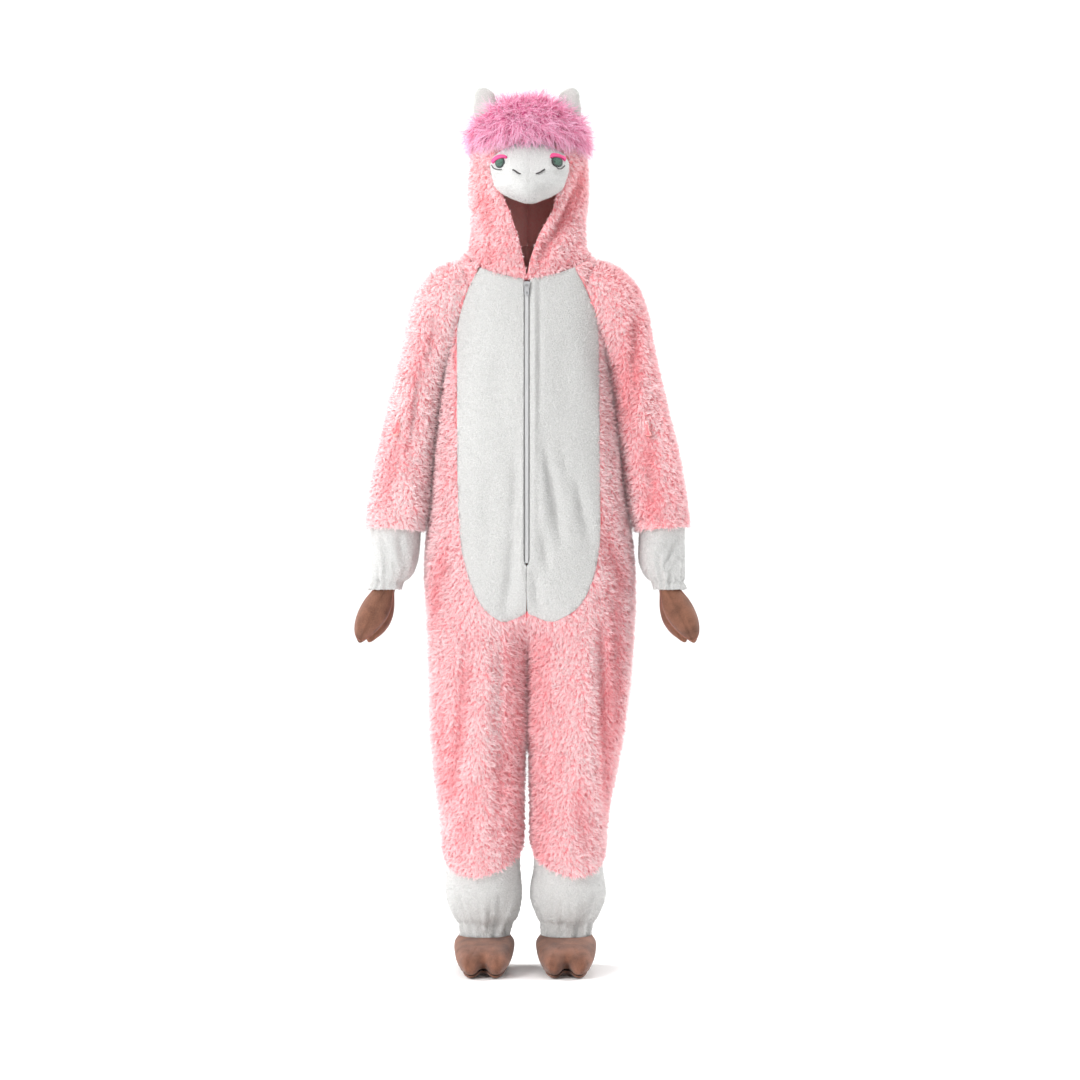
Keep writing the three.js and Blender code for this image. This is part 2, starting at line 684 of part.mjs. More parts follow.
// rise runs from 0 at the neck seam to 1 at the crown.
function hood(side, turn, rise, lift = 0) {
  const neck = neckHeight(Math.min(Math.max(turn, 0), 2)) + SEAM / 2;
  const z = neck + (HOOD_TOP - 1 - neck) * Math.min(rise, 1) ** 0.8;
  const seam = body(side, turn, neck);
  const fromSeam = seam.sub(hoodSection(side, turn, neck));
  const point = hoodSection(side, turn, z).addScaledVector(fromSeam, 1 - smooth(rise / 0.3));
  const flat = new THREE.Vector3(point.x, point.y, 0).normalize();
  const steep = smooth((z - 1600) / (HOOD_TOP - 1600));
  point.addScaledVector(flat, lift * Math.cos((steep * Math.PI) / 2));
  point.z += lift * Math.sin((steep * Math.PI) / 2);
  return point;
}

const HOOD_ROWS = 10;
const HOOD_COLUMNS = 14;
function hoodHalf(side) {
  const columns = HOOD_COLUMNS;
  const outer = [];
  const inner = [];
  for (let i = 0; i <= HOOD_ROWS; i += 1) {
    outer.push([]);
    inner.push([]);
    for (let j = 0; j <= columns; j += 1) {
      const turn = (2 * j) / columns;
      const point = hood(side, turn, i / HOOD_ROWS);
      const inside = hood(side, turn, i / HOOD_ROWS, -PLUSH);
      if (j === 0 || j === columns) {
        point.x = (side * SEAM) / 2;
        inside.x = (side * SEAM) / 2;
      }
      outer[i].push(point);
      inner[i].push(inside);
    }
  }
  return solid(wallBetween(outer, inner, false));
}

function hoodForm(lift) {
  const rings = [];
  for (let i = 0; i <= HOOD_ROWS; i += 1) {
    const ring = [];
    for (const side of [1, -1]) {
      for (let j = 0; j < HOOD_COLUMNS; j += 1) {
        const step = side > 0 ? j : HOOD_COLUMNS - j;
        ring.push(hood(side, (2 * step) / HOOD_COLUMNS, i / HOOD_ROWS, lift));
      }
    }
    rings.push(ring);
  }
  return solid(loft(rings));
}

function openingPrism() {
  const right = OPENING.map((row) => new THREE.Vector2(row.right, row.z));
  const left = OPENING.map((row) => new THREE.Vector2(row.left, row.z)).reverse();
  const low = [new THREE.Vector2(-0.3, 1350), new THREE.Vector2(0.3, 1350)];
  const shape = new THREE.Shape([...right, ...low, ...left]);
  const prism = new THREE.ExtrudeGeometry(shape, { depth: 190, bevelEnabled: false });
  prism.rotateX(Math.PI / 2);
  prism.translate(0, -20, 0);
  return solid(prism);
}

// Face, ears and mane

function facePoint(side, sweep, z, lift = 0) {
  const half = read(FACE, "half", z) + lift;
  const front = read(FACE, "front", z) + lift;
  const x = FACE_CENTRE + side * half * Math.sin(sweep);
  return new THREE.Vector3(x, -FACE_BACK - (front - FACE_BACK) * Math.cos(sweep) ** 0.8, z);
}

function faceHalf(side, lift = 0) {
  const rings = [];
  for (let i = 0; i <= 11; i += 1) {
    const top = FACE[0].z + lift;
    const z = top + ((FACE[FACE.length - 1].z - top) * i) / 11;
    const ring = [];
    for (let j = 0; j <= 7; j += 1) ring.push(facePoint(side, (j * Math.PI) / 14, z, lift));
    ring[0].x += side * (SEAM / 2 - lift);
    ring.push(new THREE.Vector3(ring[0].x, -FACE_BACK, z));
    rings.push(ring);
  }
  return solid(loft(rings));
}

// A flat patch sewn on the face: a wall over the face's own points, moved out. droop is
// how far it falls for each millimetre away from the middle of the face.
function patch(side, centreX, centreZ, halfX, halfZ, thickness, droop = 0) {
  const steps = 3;
  const sheets = [2 * SEAM, 2 * SEAM + thickness].map((lift) => {
    const rows = [];
    for (let i = 0; i <= steps; i += 1) {
      const row = [];
      for (let j = 0; j <= steps; j += 1) {
        const u = (2 * i) / steps - 1;
        const v = (2 * j) / steps - 1;
        const x = centreX + halfX * u * Math.sqrt(1 - (v * v) / 2);
        const level = centreZ - droop * side * (x - centreX);
        const z = level + halfZ * v * Math.sqrt(1 - (u * u) / 2);
        const sweep = Math.asin(Math.abs(x - FACE_CENTRE) / read(FACE, "half", z));
        row.push(facePoint(side, sweep, z, lift));
      }
      rows.push(row);
    }
    return rows;
  });
  return wallBetween(sheets[1], sheets[0], false);
}

function ear(side, lift = 0) {
  const rings = [];
  for (let i = 0; i <= 7; i += 1) {
    const place = ((EAR.length - 1) * i) / 7;
    const ring = [];
    for (let j = 0; j < 10; j += 1) {
      const angle = (2 * Math.PI * j) / 10;
      const middle = EAR_X + along(EAR, "lean", place);
      const x = middle + (along(EAR, "half", place) + lift) * Math.cos(angle);
      const y = EAR_Y - (along(EAR, "depth", place) + lift) * Math.sin(angle);
      ring.push(new THREE.Vector3(side * x, y, along(EAR, "z", place)));
    }
    rings.push(ring);
  }
  return solid(loft(rings));
}

function maneForm() {
  const rings = [];
  for (let i = 0; i <= 6; i += 1) {
    const place = i;
    const ring = [];
    for (let j = 0; j < 18; j += 1) {
      const angle = (2 * Math.PI * j) / 18;
      const across = along(MANE, Math.sin(angle) < 0 ? "right" : "left", place);
      const deep = along(MANE, Math.cos(angle) > 0 ? "front" : "back", place);
      const x = across * Math.sin(angle);
      ring.push(new THREE.Vector3(x, -deep * Math.cos(angle), along(MANE, "z", place)));
    }
    rings.push(ring);
  }
  return solid(loft(rings));
}

// Zip

// A strip down the front beside the middle, at two depths under the body's surface.
function zipStrip(side, fromX, toX, top, end, setBack, thickness) {
  const at = (x, z, depth) => {
    const share = Math.abs(x) / read(TORSO, sideName(side), z);
    const turn = (Math.asin(share ** (SQUARE / 2)) * 2) / Math.PI;
    const point = body(side, turn, z, -depth);
    return point.setX(x);
  };
  const heights = columnHeights(0).filter((z) => z < top - 8 && z > end + 8);
  const outer = [];
  const inner = [];
  for (const z of [top, ...heights, end]) {
    outer.push([at(fromX, z, setBack), at(toX, z, setBack)]);
    inner.push([at(fromX, z, setBack + thickness), at(toX, z, setBack + thickness)]);
  }
  return wallBetween(outer, inner, false);
}

function cylinderAlongX(radius, length) {
  const rod = new THREE.CylinderGeometry(radius, radius, length, 12);
  rod.rotateZ(Math.PI / 2);
  return rod;
}

// The slider: a plate over the chain, two lugs standing forward and a pin across them.
function sliderSolid() {
  const outline = new THREE.Shape();
  outline.moveTo(-6.5, 8);
  outline.quadraticCurveTo(0, 11, 6.5, 8);
  outline.lineTo(4.6, -8);
  outline.lineTo(-4.6, -8);
  outline.closePath();
  const plate = new THREE.ExtrudeGeometry(outline, { depth: 2.4, bevelEnabled: false });
  plate.rotateX(Math.PI / 2);
  plate.translate(0, 5.25, 0);
  let made = solid(plate);
  for (const way of [-1, 1]) {
    const lug = new THREE.BoxGeometry(1.4, 6.2, 5);
    lug.translate(way * (LUG_GAP + 0.7), 1.6, 0);
    made = made.add(solid(lug));
  }
  return made.add(solid(cylinderAlongX(PIN_RADIUS, 2 * LUG_GAP + 1.4)));
}

// The pull tab hangs from an eye round the pin.
function tabSolid() {
  const outline = new THREE.Shape();
  outline.moveTo(2.3, -1.2);
  outline.lineTo(-2.3, -1.2);
  outline.lineTo(-4.6, -8);
  outline.lineTo(-4.6, -17);
  outline.quadraticCurveTo(0, -21, 4.6, -17);
  outline.lineTo(4.6, -8);
  outline.closePath();
  const rim = [];
  for (let i = 0; i < 12; i += 1) {
    const angle = (-2 * Math.PI * i) / 12;
    rim.push(new THREE.Vector2(2 * Math.cos(angle), -13.5 + 2.6 * Math.sin(angle)));
  }
  outline.holes.push(new THREE.Path(rim));
  const plate = new THREE.ExtrudeGeometry(outline, {
    depth: 1.6,
    bevelEnabled: false,
    curveSegments: 6,
  });
  plate.rotateX(Math.PI / 2);
  plate.translate(0, 0.8, 0);
  const eye = solid(cylinderAlongX(TAB_EYE_RADIUS, 2 * (LUG_GAP - SEAM)));
  const bore = solid(cylinderAlongX(PIN_RADIUS + 0.35, 12));
  return solid(plate).add(eye).subtract(bore);
}

// Materials

const cloth = (color, roughness) =>
  new THREE.MeshStandardMaterial({ color, roughness, metalness: 0 });
const plushPink = cloth(0xf5a3ab, 0.95);
const fleeceWhite = cloth(0xe8e8e6, 0.92);
const suedeBrown = cloth(0x966a55, 0.85);
const manePink = cloth(0xeb82b9, 0.8);
const feltGreen = cloth(0x508c73, 0.8);
const feltMagenta = cloth(0xeb3c82, 0.8);
const tapeGrey = cloth(0xc4c4c2, 0.8);
const zipMetal = new THREE.MeshStandardMaterial({
  color: 0xb4b4b6,
  roughness: 0.35,
  metalness: 0.9,
});

function piece(name, made, material) {
  const geometry = made.isBufferGeometry ? made : geometryFrom(made);
  const mesh = new THREE.Mesh(geometry, material);
  mesh.name = name;
  return mesh;
}

// The pieces, put together

const onesie = new THREE.Group();
const bodyGroup = new THREE.Group();
const sleeveGroup = new THREE.Group();
const footGroup = new THREE.Group();
const hoodGroup = new THREE.Group();
const zipGroup = new THREE.Group();
onesie.add(bodyGroup, sleeveGroup, footGroup, hoodGroup, zipGroup);

const hoodOutside = hoodForm(SEAM);
const bellyHole = bellyPrism(0);
const bellyShape = bellyPrism(SEAM);
const slitBox = new THREE.BoxGeometry(2 * ZIP_SLIT, 400, 700);
slitBox.translate(0, -200, ZIP_END - 3 + 350);
const slit = solid(slitBox);
const faceOpening = openingPrism();
const faces = { right: faceHalf(-1), left: faceHalf(1) };
const ears = { right: ear(-1).subtract(hoodOutside), left: ear(1).subtract(hoodOutside) };

for (const side of [-1, 1]) {
  const name = sideName(side);

  // Body
  const armRoom = solid(loft(sleeveRings(side, PLUSH, SLEEVE_ROWS, SLEEVE_ROUND)));
  const front = bodyPanel(side, "front", 0, PLUSH).subtract(bellyHole).subtract(armRoom);
  const back = bodyPanel(side, "back", 0, PLUSH).subtract(armRoom);
  const bellySheet = bodyPanel(side, "front", -BELLY_SET_BACK, FLEECE);
  const belly = bellySheet.intersect(bellyShape).subtract(slit);
  bodyGroup.add(piece("front_" + name, front, plushPink));
  bodyGroup.add(piece("back_" + name, back, plushPink));
  bodyGroup.add(piece("belly_" + name, belly, fleeceWhite));

  // Arm
  const sleeveWall = wallBetween(
    sleeveRings(side, 0, SLEEVE_ROWS, SLEEVE_ROUND),
    sleeveRings(side, PLUSH, SLEEVE_ROWS, SLEEVE_ROUND),
    true,
  );
  const sleeve = solid(sleeveWall).subtract(bodyForm(side, SEAM + 0.2));
  const upper = sleeve.trimByPlane([0, 0, 1], ELBOW + SEAM / 2);
  const lower = sleeve.trimByPlane([0, 0, -1], -ELBOW + SEAM / 2);
  sleeveGroup.add(piece("sleeve_upper_" + name, upper, plushPink));
  sleeveGroup.add(piece("sleeve_lower_" + name, lower, plushPink));
  const cuff = wallBetween(
    tubeRings(CUFF, side, 0),
    tubeRings(CUFF, side, FLEECE),
    true,
  );
  sleeveGroup.add(piece("cuff_" + name, cuff, fleeceWhite));
  sleeveGroup.add(piece("mitt_front_" + name, lobe(side, false), suedeBrown));
  sleeveGroup.add(piece("mitt_back_" + name, lobe(side, true), suedeBrown));

  // Foot
  const lowerLeg = wallBetween(
    tubeRings(LOWER_LEG, side, 0),
    tubeRings(LOWER_LEG, side, FLEECE),
    true,
  );
  footGroup.add(piece("lower_leg_" + name, lowerLeg, fleeceWhite));
  const boot = wallBetween(bootRings(side, 0), bootRings(side, SUEDE), true);
  footGroup.add(piece("boot_" + name, boot, suedeBrown));
  const soleRings = [bootRing(side, BOOT[0].z, 0), bootRing(side, BOOT[0].z, 0)];
  soleRings[0].forEach((point) => point.setZ(BOOT[0].z - SEAM));
  soleRings[1].forEach((point) => point.setZ(0));
  footGroup.add(piece("sole_" + name, loft(soleRings), suedeBrown));

  // Hood and face
  const hoodPiece = hoodHalf(side).subtract(faceOpening);
  hoodGroup.add(piece("hood_" + name, hoodPiece, plushPink));
  hoodGroup.add(piece("ear_" + name, ears[name], fleeceWhite));
  hoodGroup.add(piece("face_" + name, faces[name].subtract(hoodOutside), fleeceWhite));
  const eyeX = EYE_X[name];
  const eye = patch(side, eyeX, EYE_Z, 11, 10.5, 1);
  hoodGroup.add(piece("eye_" + name, eye, feltGreen));
  const lid = patch(side, eyeX, EYE_Z + 15, 15, 3.4, 1.4, 0.14);
  hoodGroup.add(piece("lid_" + name, lid, feltMagenta));

  // Zip tape
  const tapeAt = BELLY_SET_BACK + FLEECE + 2 * SEAM;
  const near = side * (SEAM / 2);
  const far = side * TAPE_WIDTH;
  const tape = zipStrip(side, near, far, ZIP_TOP, ZIP_END - 12, tapeAt, TAPE);
  zipGroup.add(piece("zip_tape_" + name, tape, tapeGrey));
}

const maneLift = hoodForm(2 * SEAM);
let mane = maneForm().subtract(maneLift);
for (const side of [-1, 1]) {
  mane = mane.subtract(faceHalf(side, SEAM)).subtract(ear(side, 2 * SEAM));
}
hoodGroup.add(piece("mane", mane, manePink));

const chainAt = BELLY_SET_BACK + FLEECE - CHAIN;
const chain = zipStrip(1, -CHAIN_HALF, CHAIN_HALF, ZIP_TOP - 2, ZIP_END, chainAt, CHAIN);
zipGroup.add(piece("zip_chain", chain, zipMetal));

// The slider stands at the top of the chain; its pin is the pull tab's hinge.
const hinge = new THREE.Group();
hinge.position.set(0, -read(TORSO, "front", HINGE_Z) - 4.2, HINGE_Z);
hinge.add(piece("zip_slider", sliderSolid(), zipMetal));
hinge.add(piece("zip_pull", tabSolid(), zipMetal));
zipGroup.add(hinge);

onesie.position.z = -SHOULDER_HEIGHT;

export default onesie;
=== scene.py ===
import math

import bmesh
import bpy
import numpy as np
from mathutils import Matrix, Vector
from mathutils.bvhtree import BVHTree


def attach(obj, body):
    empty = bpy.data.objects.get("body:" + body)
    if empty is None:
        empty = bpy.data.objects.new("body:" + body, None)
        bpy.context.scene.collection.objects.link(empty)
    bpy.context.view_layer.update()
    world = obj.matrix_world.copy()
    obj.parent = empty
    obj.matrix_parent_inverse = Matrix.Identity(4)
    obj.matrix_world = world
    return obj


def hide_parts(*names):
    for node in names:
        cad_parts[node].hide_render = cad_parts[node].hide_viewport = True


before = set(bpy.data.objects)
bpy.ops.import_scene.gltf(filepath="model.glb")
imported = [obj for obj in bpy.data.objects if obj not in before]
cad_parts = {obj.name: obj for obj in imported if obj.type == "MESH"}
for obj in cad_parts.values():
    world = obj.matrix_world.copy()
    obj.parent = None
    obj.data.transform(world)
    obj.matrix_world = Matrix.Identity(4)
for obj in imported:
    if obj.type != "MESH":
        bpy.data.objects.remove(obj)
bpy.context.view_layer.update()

# Camera, floor and light.
# The camera stands level, 6 m in front of the garment and at the height of its middle, and
# the floor runs up into a plain pale wall behind.
CAMERA_PLACE = (0.026, -6.0, -0.544)
CAMERA_LENS = 100
SENSOR = 36
FLOOR_HEIGHT = -1.4

scene = bpy.context.scene
camera_data = bpy.data.cameras.new("camera")
camera_data.lens = CAMERA_LENS
camera_data.sensor_width = SENSOR
camera_data.clip_end = 60
camera = bpy.data.objects.new("camera", camera_data)
camera.location = CAMERA_PLACE
camera.rotation_euler = (math.pi / 2, 0, 0)
scene.collection.objects.link(camera)
scene.camera = camera
scene.view_settings.view_transform = "Standard"
scene.view_settings.look = "None"


def new_piece(name, mesh, *materials):
    """A new object with this mesh and these materials, at the origin."""
    made = bpy.data.objects.new(name, mesh)
    scene.collection.objects.link(made)
    for one in materials:
        made.data.materials.append(one)
    return made


def mesh_of(name, points, faces):
    """A smooth-shaded mesh from points in metres and faces."""
    mesh = bpy.data.meshes.new(name)
    mesh.from_pydata([tuple(p) for p in points], [], faces)
    mesh.shade_smooth()
    mesh.update()
    return mesh


def give(tree, node, *values, **settings):
    """Sets a node's inputs and properties, and joins the sockets among the values."""
    for key, value in [*enumerate(values), *settings.items()]:
        label = key if isinstance(key, int) else key.replace("_", " ")
        if isinstance(value, bpy.types.NodeSocket):
            tree.links.new(value, node.inputs[label])
        elif isinstance(key, int) or label in node.inputs:
            node.inputs[label].default_value = value
        else:
            setattr(node, key, value)
    return node


def node_material(name):
    """A material, a way to add nodes to it and a way to set or join its shader's inputs."""
    made = bpy.data.materials.new(name)
    made.use_nodes = True
    tree = made.node_tree

    def add(kind, *values, **settings):
        return give(tree, tree.nodes.new(kind), *values, **settings)

    def look(**settings):
        give(tree, tree.nodes["Principled BSDF"], **settings)

    return made, add, look


def tones(add, value, *stops):
    """The colour for a value, between stops that each have a place and a colour."""
    ramp = add("ShaderNodeValToRGB", Fac=value)
    elements = ramp.color_ramp.elements
    for step, (place, colour) in enumerate(stops):
        if step == 0:
            stop = elements[0]
        elif step == len(stops) - 1:
            stop = elements[len(elements) - 1]
        else:
            stop = elements.new(place)
        stop.position = place
        stop.color = (*colour, 1)
    return ramp.outputs["Color"]


backdrop = []
for height, depth in [(0, -9), (0, 6.8), (0.12, 7.6), (0.5, 8.2), (1.3, 8.6), (7, 8.7)]:
    for across in (-9, 9):
        backdrop.append((across, depth, FLOOR_HEIGHT + height))
floor_mesh = mesh_of(
    "floor", backdrop, [(2 * i, 2 * i + 1, 2 * i + 3, 2 * i + 2) for i in range(5)]
)
floor_finish, add, look = node_material("floor_paper")
grain = add("ShaderNodeTexNoise", Scale=3.0, Detail=3.0).outputs["Fac"]
paper = tones(add, grain, (0, (0.93, 0.93, 0.93)), (1, (0.96, 0.96, 0.96)))
look(Base_Color=paper, Roughness=0.8)
floor = new_piece("floor", floor_mesh, floor_finish)

world = bpy.data.worlds.new("studio")
world.use_nodes = True
world.node_tree.nodes["Background"].inputs["Color"].default_value = (1, 1, 1, 1)
world.node_tree.nodes["Background"].inputs["Strength"].default_value = 0.36
scene.world = world

GARMENT_MIDDLE = Vector((0, 0, -0.55))
WALL_FOOT = Vector((0, 4, 0))
SOFT_LIGHTS = [
    # name, place, what it is aimed at, width in metres, watts
    ("key", (-3.2, -3.6, 1.6), GARMENT_MIDDLE, 1.9, 190),
    ("fill", (0.9, -5.6, -0.2), GARMENT_MIDDLE, 2.4, 50),
    ("top", (0.2, -0.6, 3.2), GARMENT_MIDDLE, 2.4, 52),
    ("wall_left", (-3.6, 1.6, 1.8), WALL_FOOT, 2.6, 260),
    ("wall_right", (3.6, 1.6, 1.8), WALL_FOOT, 2.6, 260),
]
for name, place, aim, width, power in SOFT_LIGHTS:
    lamp = bpy.data.lights.new(name, "AREA")
    lamp.size = width
    lamp.energy = power
    lit = bpy.data.objects.new(name, lamp)
    lit.location = place
    lit.visible_camera = False
    lit.rotation_euler = (aim - Vector(place)).to_track_quat("-Z", "Y").to_euler()
    scene.collection.objects.link(lit)

# Front panels of the body.
# The pink plush is a knitted cloth with a long curly pile. Two front panels, one each side,
# run from the neck down the outside of the leg, and are cut away in the middle for the belly.
PILE_REACH = 0.0045  # how far the cloth lies below its solid's outer side
CLOTH_WALL = 0.0016
THICKEST_WALL = 0.0105  # the solids' walls are no thicker than this
LOOKS_AWAY, SAME_SIDE, FACES_BACK = 0.35, 0.6, -0.8  # how far two directions agree
FACES_OUT, SMALL_PATCH = 0.03, 1e-5
ALLOWANCE = 0.009  # the strip of cloth that runs on below a sewn edge
ALLOWANCE_DROP = 0.0015
PILE_PER_SQUARE_METRE = 352000.0
PILE_ROOT = (0.97, 0.37, 0.40)
PILE_MIDDLE = (1.0, 0.57, 0.605)
PILE_TIP = (1.0, 0.81, 0.82)
ARM_LEAN = 0.013  # how far a sleeve's inner side moves to lie on the body
LEG_LEAN = 0.0085
SHOULDER_LIFT = 0.013
FRONT_CREASES = [
    # from (x, z) to (x, z) in millimetres, width, depth
    ((-114, -720), (-152, -1120), 12, 12),
    ((-72, -740), (-92, -1000), 17, -6),
    ((-176, -800), (-160, -1080), 14, 8),
    ((-178, -600), (-190, -780), 14, 7),
    ((-44, -900), (-60, -1140), 17, 6),
    ((146, -690), (152, -960), 11, 17),
    ((152, -900), (164, -1130), 12, 14),
    ((178, -620), (182, -1040), 13, 13),
    ((118, -740), (112, -1020), 17, -7),
    ((66, -860), (50, -1110), 16, 5),
    ((150, -520), (200, -660), 14, 9),
    ((-150, -520), (-192, -690), 14, 9),
    ((-186, -200), (-190, -500), 12, 8),
    ((186, -240), (196, -520), 12, 10),
    ((-158, -330), (-164, -520), 11, -4),
    ((166, -330), (176, -560), 11, -5),
    ((-96, -1010), (-130, -1170), 15, 6),
    ((96, -1020), (120, -1170), 15, 6),
]


def baked(work):
    """The mesh that an object's modifiers make of it. The object itself goes."""
    made = bpy.data.meshes.new_from_object(
        work.evaluated_get(bpy.context.evaluated_depsgraph_get())
    )
    bpy.data.objects.remove(work)
    return made


def number_by_place(shape):
    """Numbers a bmesh's points, edges and faces by where they are, the same in every run."""
    def middle(member):
        corners = [member] if isinstance(member, bmesh.types.BMVert) else member.verts
        return tuple(round(v, 6) for v in sum((c.co for c in corners), Vector()) / len(corners))

    for members in (shape.verts, shape.edges, shape.faces):
        for number, member in enumerate(sorted(members, key=middle)):
            member.index = number
        members.sort()


def rounded(mesh, levels):
    """The mesh with its facets rounded."""
    work = new_piece(mesh.name, mesh)
    rounding = work.modifiers.new("rounding", "SUBSURF")
    rounding.levels = rounding.render_levels = levels
    made = baked(work)
    made.shade_smooth()
    return made


def outer_wall(node, thickest, sewn, around=None):
    """The faces on the outer side of a solid's wall, as a bmesh. Where a solid's outer side
    is in several parts, those that face away from the body's middle are kept as well. With
    a point given to go around, it is all the faces that look away from that point."""
    shape = bmesh.new()
    shape.from_mesh(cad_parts[node].data)
    bmesh.ops.remove_doubles(shape, verts=shape.verts, dist=2e-5)
    shape.normal_update()
    if around:
        drop = [
            f for f in shape.faces
            if f.normal.dot((f.calc_center_median() - around).normalized()) < LOOKS_AWAY
        ]
        bmesh.ops.delete(shape, geom=drop, context="FACES")
        return shape
    walls = BVHTree.FromBMesh(shape)
    left = set()
    for face in shape.faces:
        middle = face.calc_center_median()
        _, far_side, _, _ = walls.ray_cast(
            middle - face.normal * 1e-4, -face.normal, thickest
        )
        if far_side and far_side.dot(face.normal) < FACES_BACK:
            left.add(face)
    patches = []
    while left:
        start = left.pop()
        patch, reached = [start], [start]
        while reached:
            face = reached.pop()
            for edge in face.edges:
                for other in edge.link_faces:
                    if other in left and other.normal.dot(face.normal) > SAME_SIDE:
                        left.discard(other)
                        patch.append(other)
                        reached.append(other)
        size = sum(f.calc_area() for f in patch)
        facing = sum(
            f.calc_area() * f.normal.xy.dot(f.calc_center_median().xy) for f in patch
        )
        patches.append((size, facing / max(size, 1e-9), patch))
    patches.sort(key=lambda one: -one[0])
    keep = set(patches[0][2])
    if sewn and not node.startswith("sleeve"):
        for size, facing, patch in patches[1:]:
            if facing > FACES_OUT and size > SMALL_PATCH:
                keep.update(patch)
    drop = [f for f in shape.faces if f not in keep]
    bmesh.ops.delete(shape, geom=drop, context="FACES")
    return shape


def outer_skin(
    nodes, finer, lift, thickest=THICKEST_WALL, allowance=0, sewn=None, around=None
):
    """The outer sides of the nodes' walls, as smoothed quads moved out by lift. Where sewn
    says that an edge is sewn to a neighbour, an allowance of cloth runs on below it."""
    shape = bmesh.new()
    for node in nodes:
        wall = outer_wall(node, thickest, sewn, around)
        bmesh.ops.remove_doubles(wall, verts=wall.verts, dist=5e-4)
        part = bpy.data.meshes.new(node + "_wall")
        wall.to_mesh(part)
        wall.free()
        shape.from_mesh(part)
        bpy.data.meshes.remove(part)
    shape.normal_update()
    bmesh.ops.join_triangles(
        shape, faces=shape.faces, angle_face_threshold=0.7, angle_shape_threshold=1.2
    )
    if allowance:
        rim, way_out, inwards = [], {}, {}
        for edge in [e for e in shape.edges if e.is_boundary]:
            middle = (edge.verts[0].co + edge.verts[1].co) / 2
            if not sewn(middle):
                continue
            face = edge.link_faces[0]
            way = middle - face.calc_center_median()
            run = (edge.verts[1].co - edge.verts[0].co).normalized()
            way -= run * way.dot(run)
            way -= face.normal * way.dot(face.normal)
            rim.append(edge)
            for corner in edge.verts:
                key = tuple(round(v, 5) for v in corner.co)
                way_out[key] = way_out.get(key, Vector()) + way.normalized()
                inwards[key] = corner.normal.copy()
        added = bmesh.ops.extrude_edge_only(shape, edges=rim)["geom"]
        for corner in [g for g in added if isinstance(g, bmesh.types.BMVert)]:
            key = tuple(round(v, 5) for v in corner.co)
            corner.co += way_out[key].normalized() * allowance
            corner.co -= inwards[key] * ALLOWANCE_DROP
        number_by_place(shape)
    mesh = bpy.data.meshes.new(nodes[0] + "_skin")
    shape.to_mesh(mesh)
    shape.free()
    made = rounded(mesh, finer)
    points, normals = points_and_normals(made)
    set_points(made, points + normals * lift)
    return made


def points_and_normals(mesh):
    """Every point of a mesh and the way out of its surface there, one to a row."""
    count = len(mesh.vertices)
    points = np.empty(count * 3)
    normals = np.empty(count * 3)
    mesh.vertices.foreach_get("co", points)
    mesh.vertices.foreach_get("normal", normals)
    return points.reshape(-1, 3), normals.reshape(-1, 3)


def set_points(mesh, points):
    """Moves a mesh's points to new places."""
    mesh.vertices.foreach_set("co", points.ravel())
    mesh.update()


def past(values, edge, run):
    """0 before an edge and 1 once past it by run. A negative run counts downwards."""
    return np.clip((values - edge) / run, 0, 1)


def press_creases(mesh, creases, face):
    """Soft troughs (or ridges, where the depth is negative) on the front or back."""
    points, normals = points_and_normals(mesh)
    moved = np.zeros(len(points))
    seen = np.clip(-face * normals[:, 1] * 2.0, 0, 1)
    for (x0, z0), (x1, z1), width, depth in creases:
        start = np.array((x0, z0)) / 1000
        run = np.array((x1, z1)) / 1000 - start
        place = points[:, [0, 2]] - start
        along = place @ run / (run @ run)
        off = np.abs(place[:, 0] * run[1] - place[:, 1] * run[0]) / np.linalg.norm(run)
        inside = np.clip(along, 0, 1)
        taper = np.where((along > 0) & (along < 1), np.sin(np.pi * inside) ** 0.7, 0)
        moved -= depth / 1000 * taper * np.exp(-((off * 1000 / width) ** 2)) * seen
    set_points(mesh, points + normals * moved[:, None])
    # Painted shade: the pile is coloured deeper in the troughs.
    paint_shade(mesh, np.clip(-moved / 0.008, 0, 1))


def paint_shade(mesh, painted_shade_and_light):
    """Keeps the shade painted into the pile at each point, which gives it a deeper colour."""
    kept = mesh.attributes.get("painted_shade_and_light")
    if not kept:
        kept = mesh.attributes.new("painted_shade_and_light", "FLOAT", "POINT")
    before = np.empty(len(mesh.vertices))
    kept.data.foreach_get("value", before)
    kept.data.foreach_set("value", np.maximum(before, painted_shade_and_light))


def growing_tree(name, bed, grow, **numbers):
    """A node tree that grows pile or stitches on a bed. grow takes the values that the
    tree is given and a way to add nodes, and returns what it has set out on the bed."""
    group = bpy.data.node_groups.new(name, "GeometryNodeTree")
    face = group.interface
    face.new_socket(bed, in_out="INPUT", socket_type="NodeSocketGeometry")
    kinds = {float: "NodeSocketFloat", int: "NodeSocketInt", tuple: "NodeSocketVector"}
    for label, value in numbers.items():
        socket = face.new_socket(
            label.replace("_", " "), in_out="INPUT", socket_type=kinds[type(value)]
        )
        socket.default_value = value
    face.new_socket("Finish", in_out="INPUT", socket_type="NodeSocketMaterial")
    face.new_socket("Grown", in_out="OUTPUT", socket_type="NodeSocketGeometry")

    def add(kind, *values, **settings):
        return give(group, group.nodes.new(kind), *values, **settings)

    given = add("NodeGroupInput").outputs
    real = add("GeometryNodeRealizeInstances", grow(given, add))
    smooth = add("GeometryNodeSetShadeSmooth", real.outputs[0])
    finish = add(
        "GeometryNodeSetMaterial", Geometry=smooth.outputs[0], Material=given["Finish"]
    )
    add("NodeGroupOutput", finish.outputs[0])
    return group


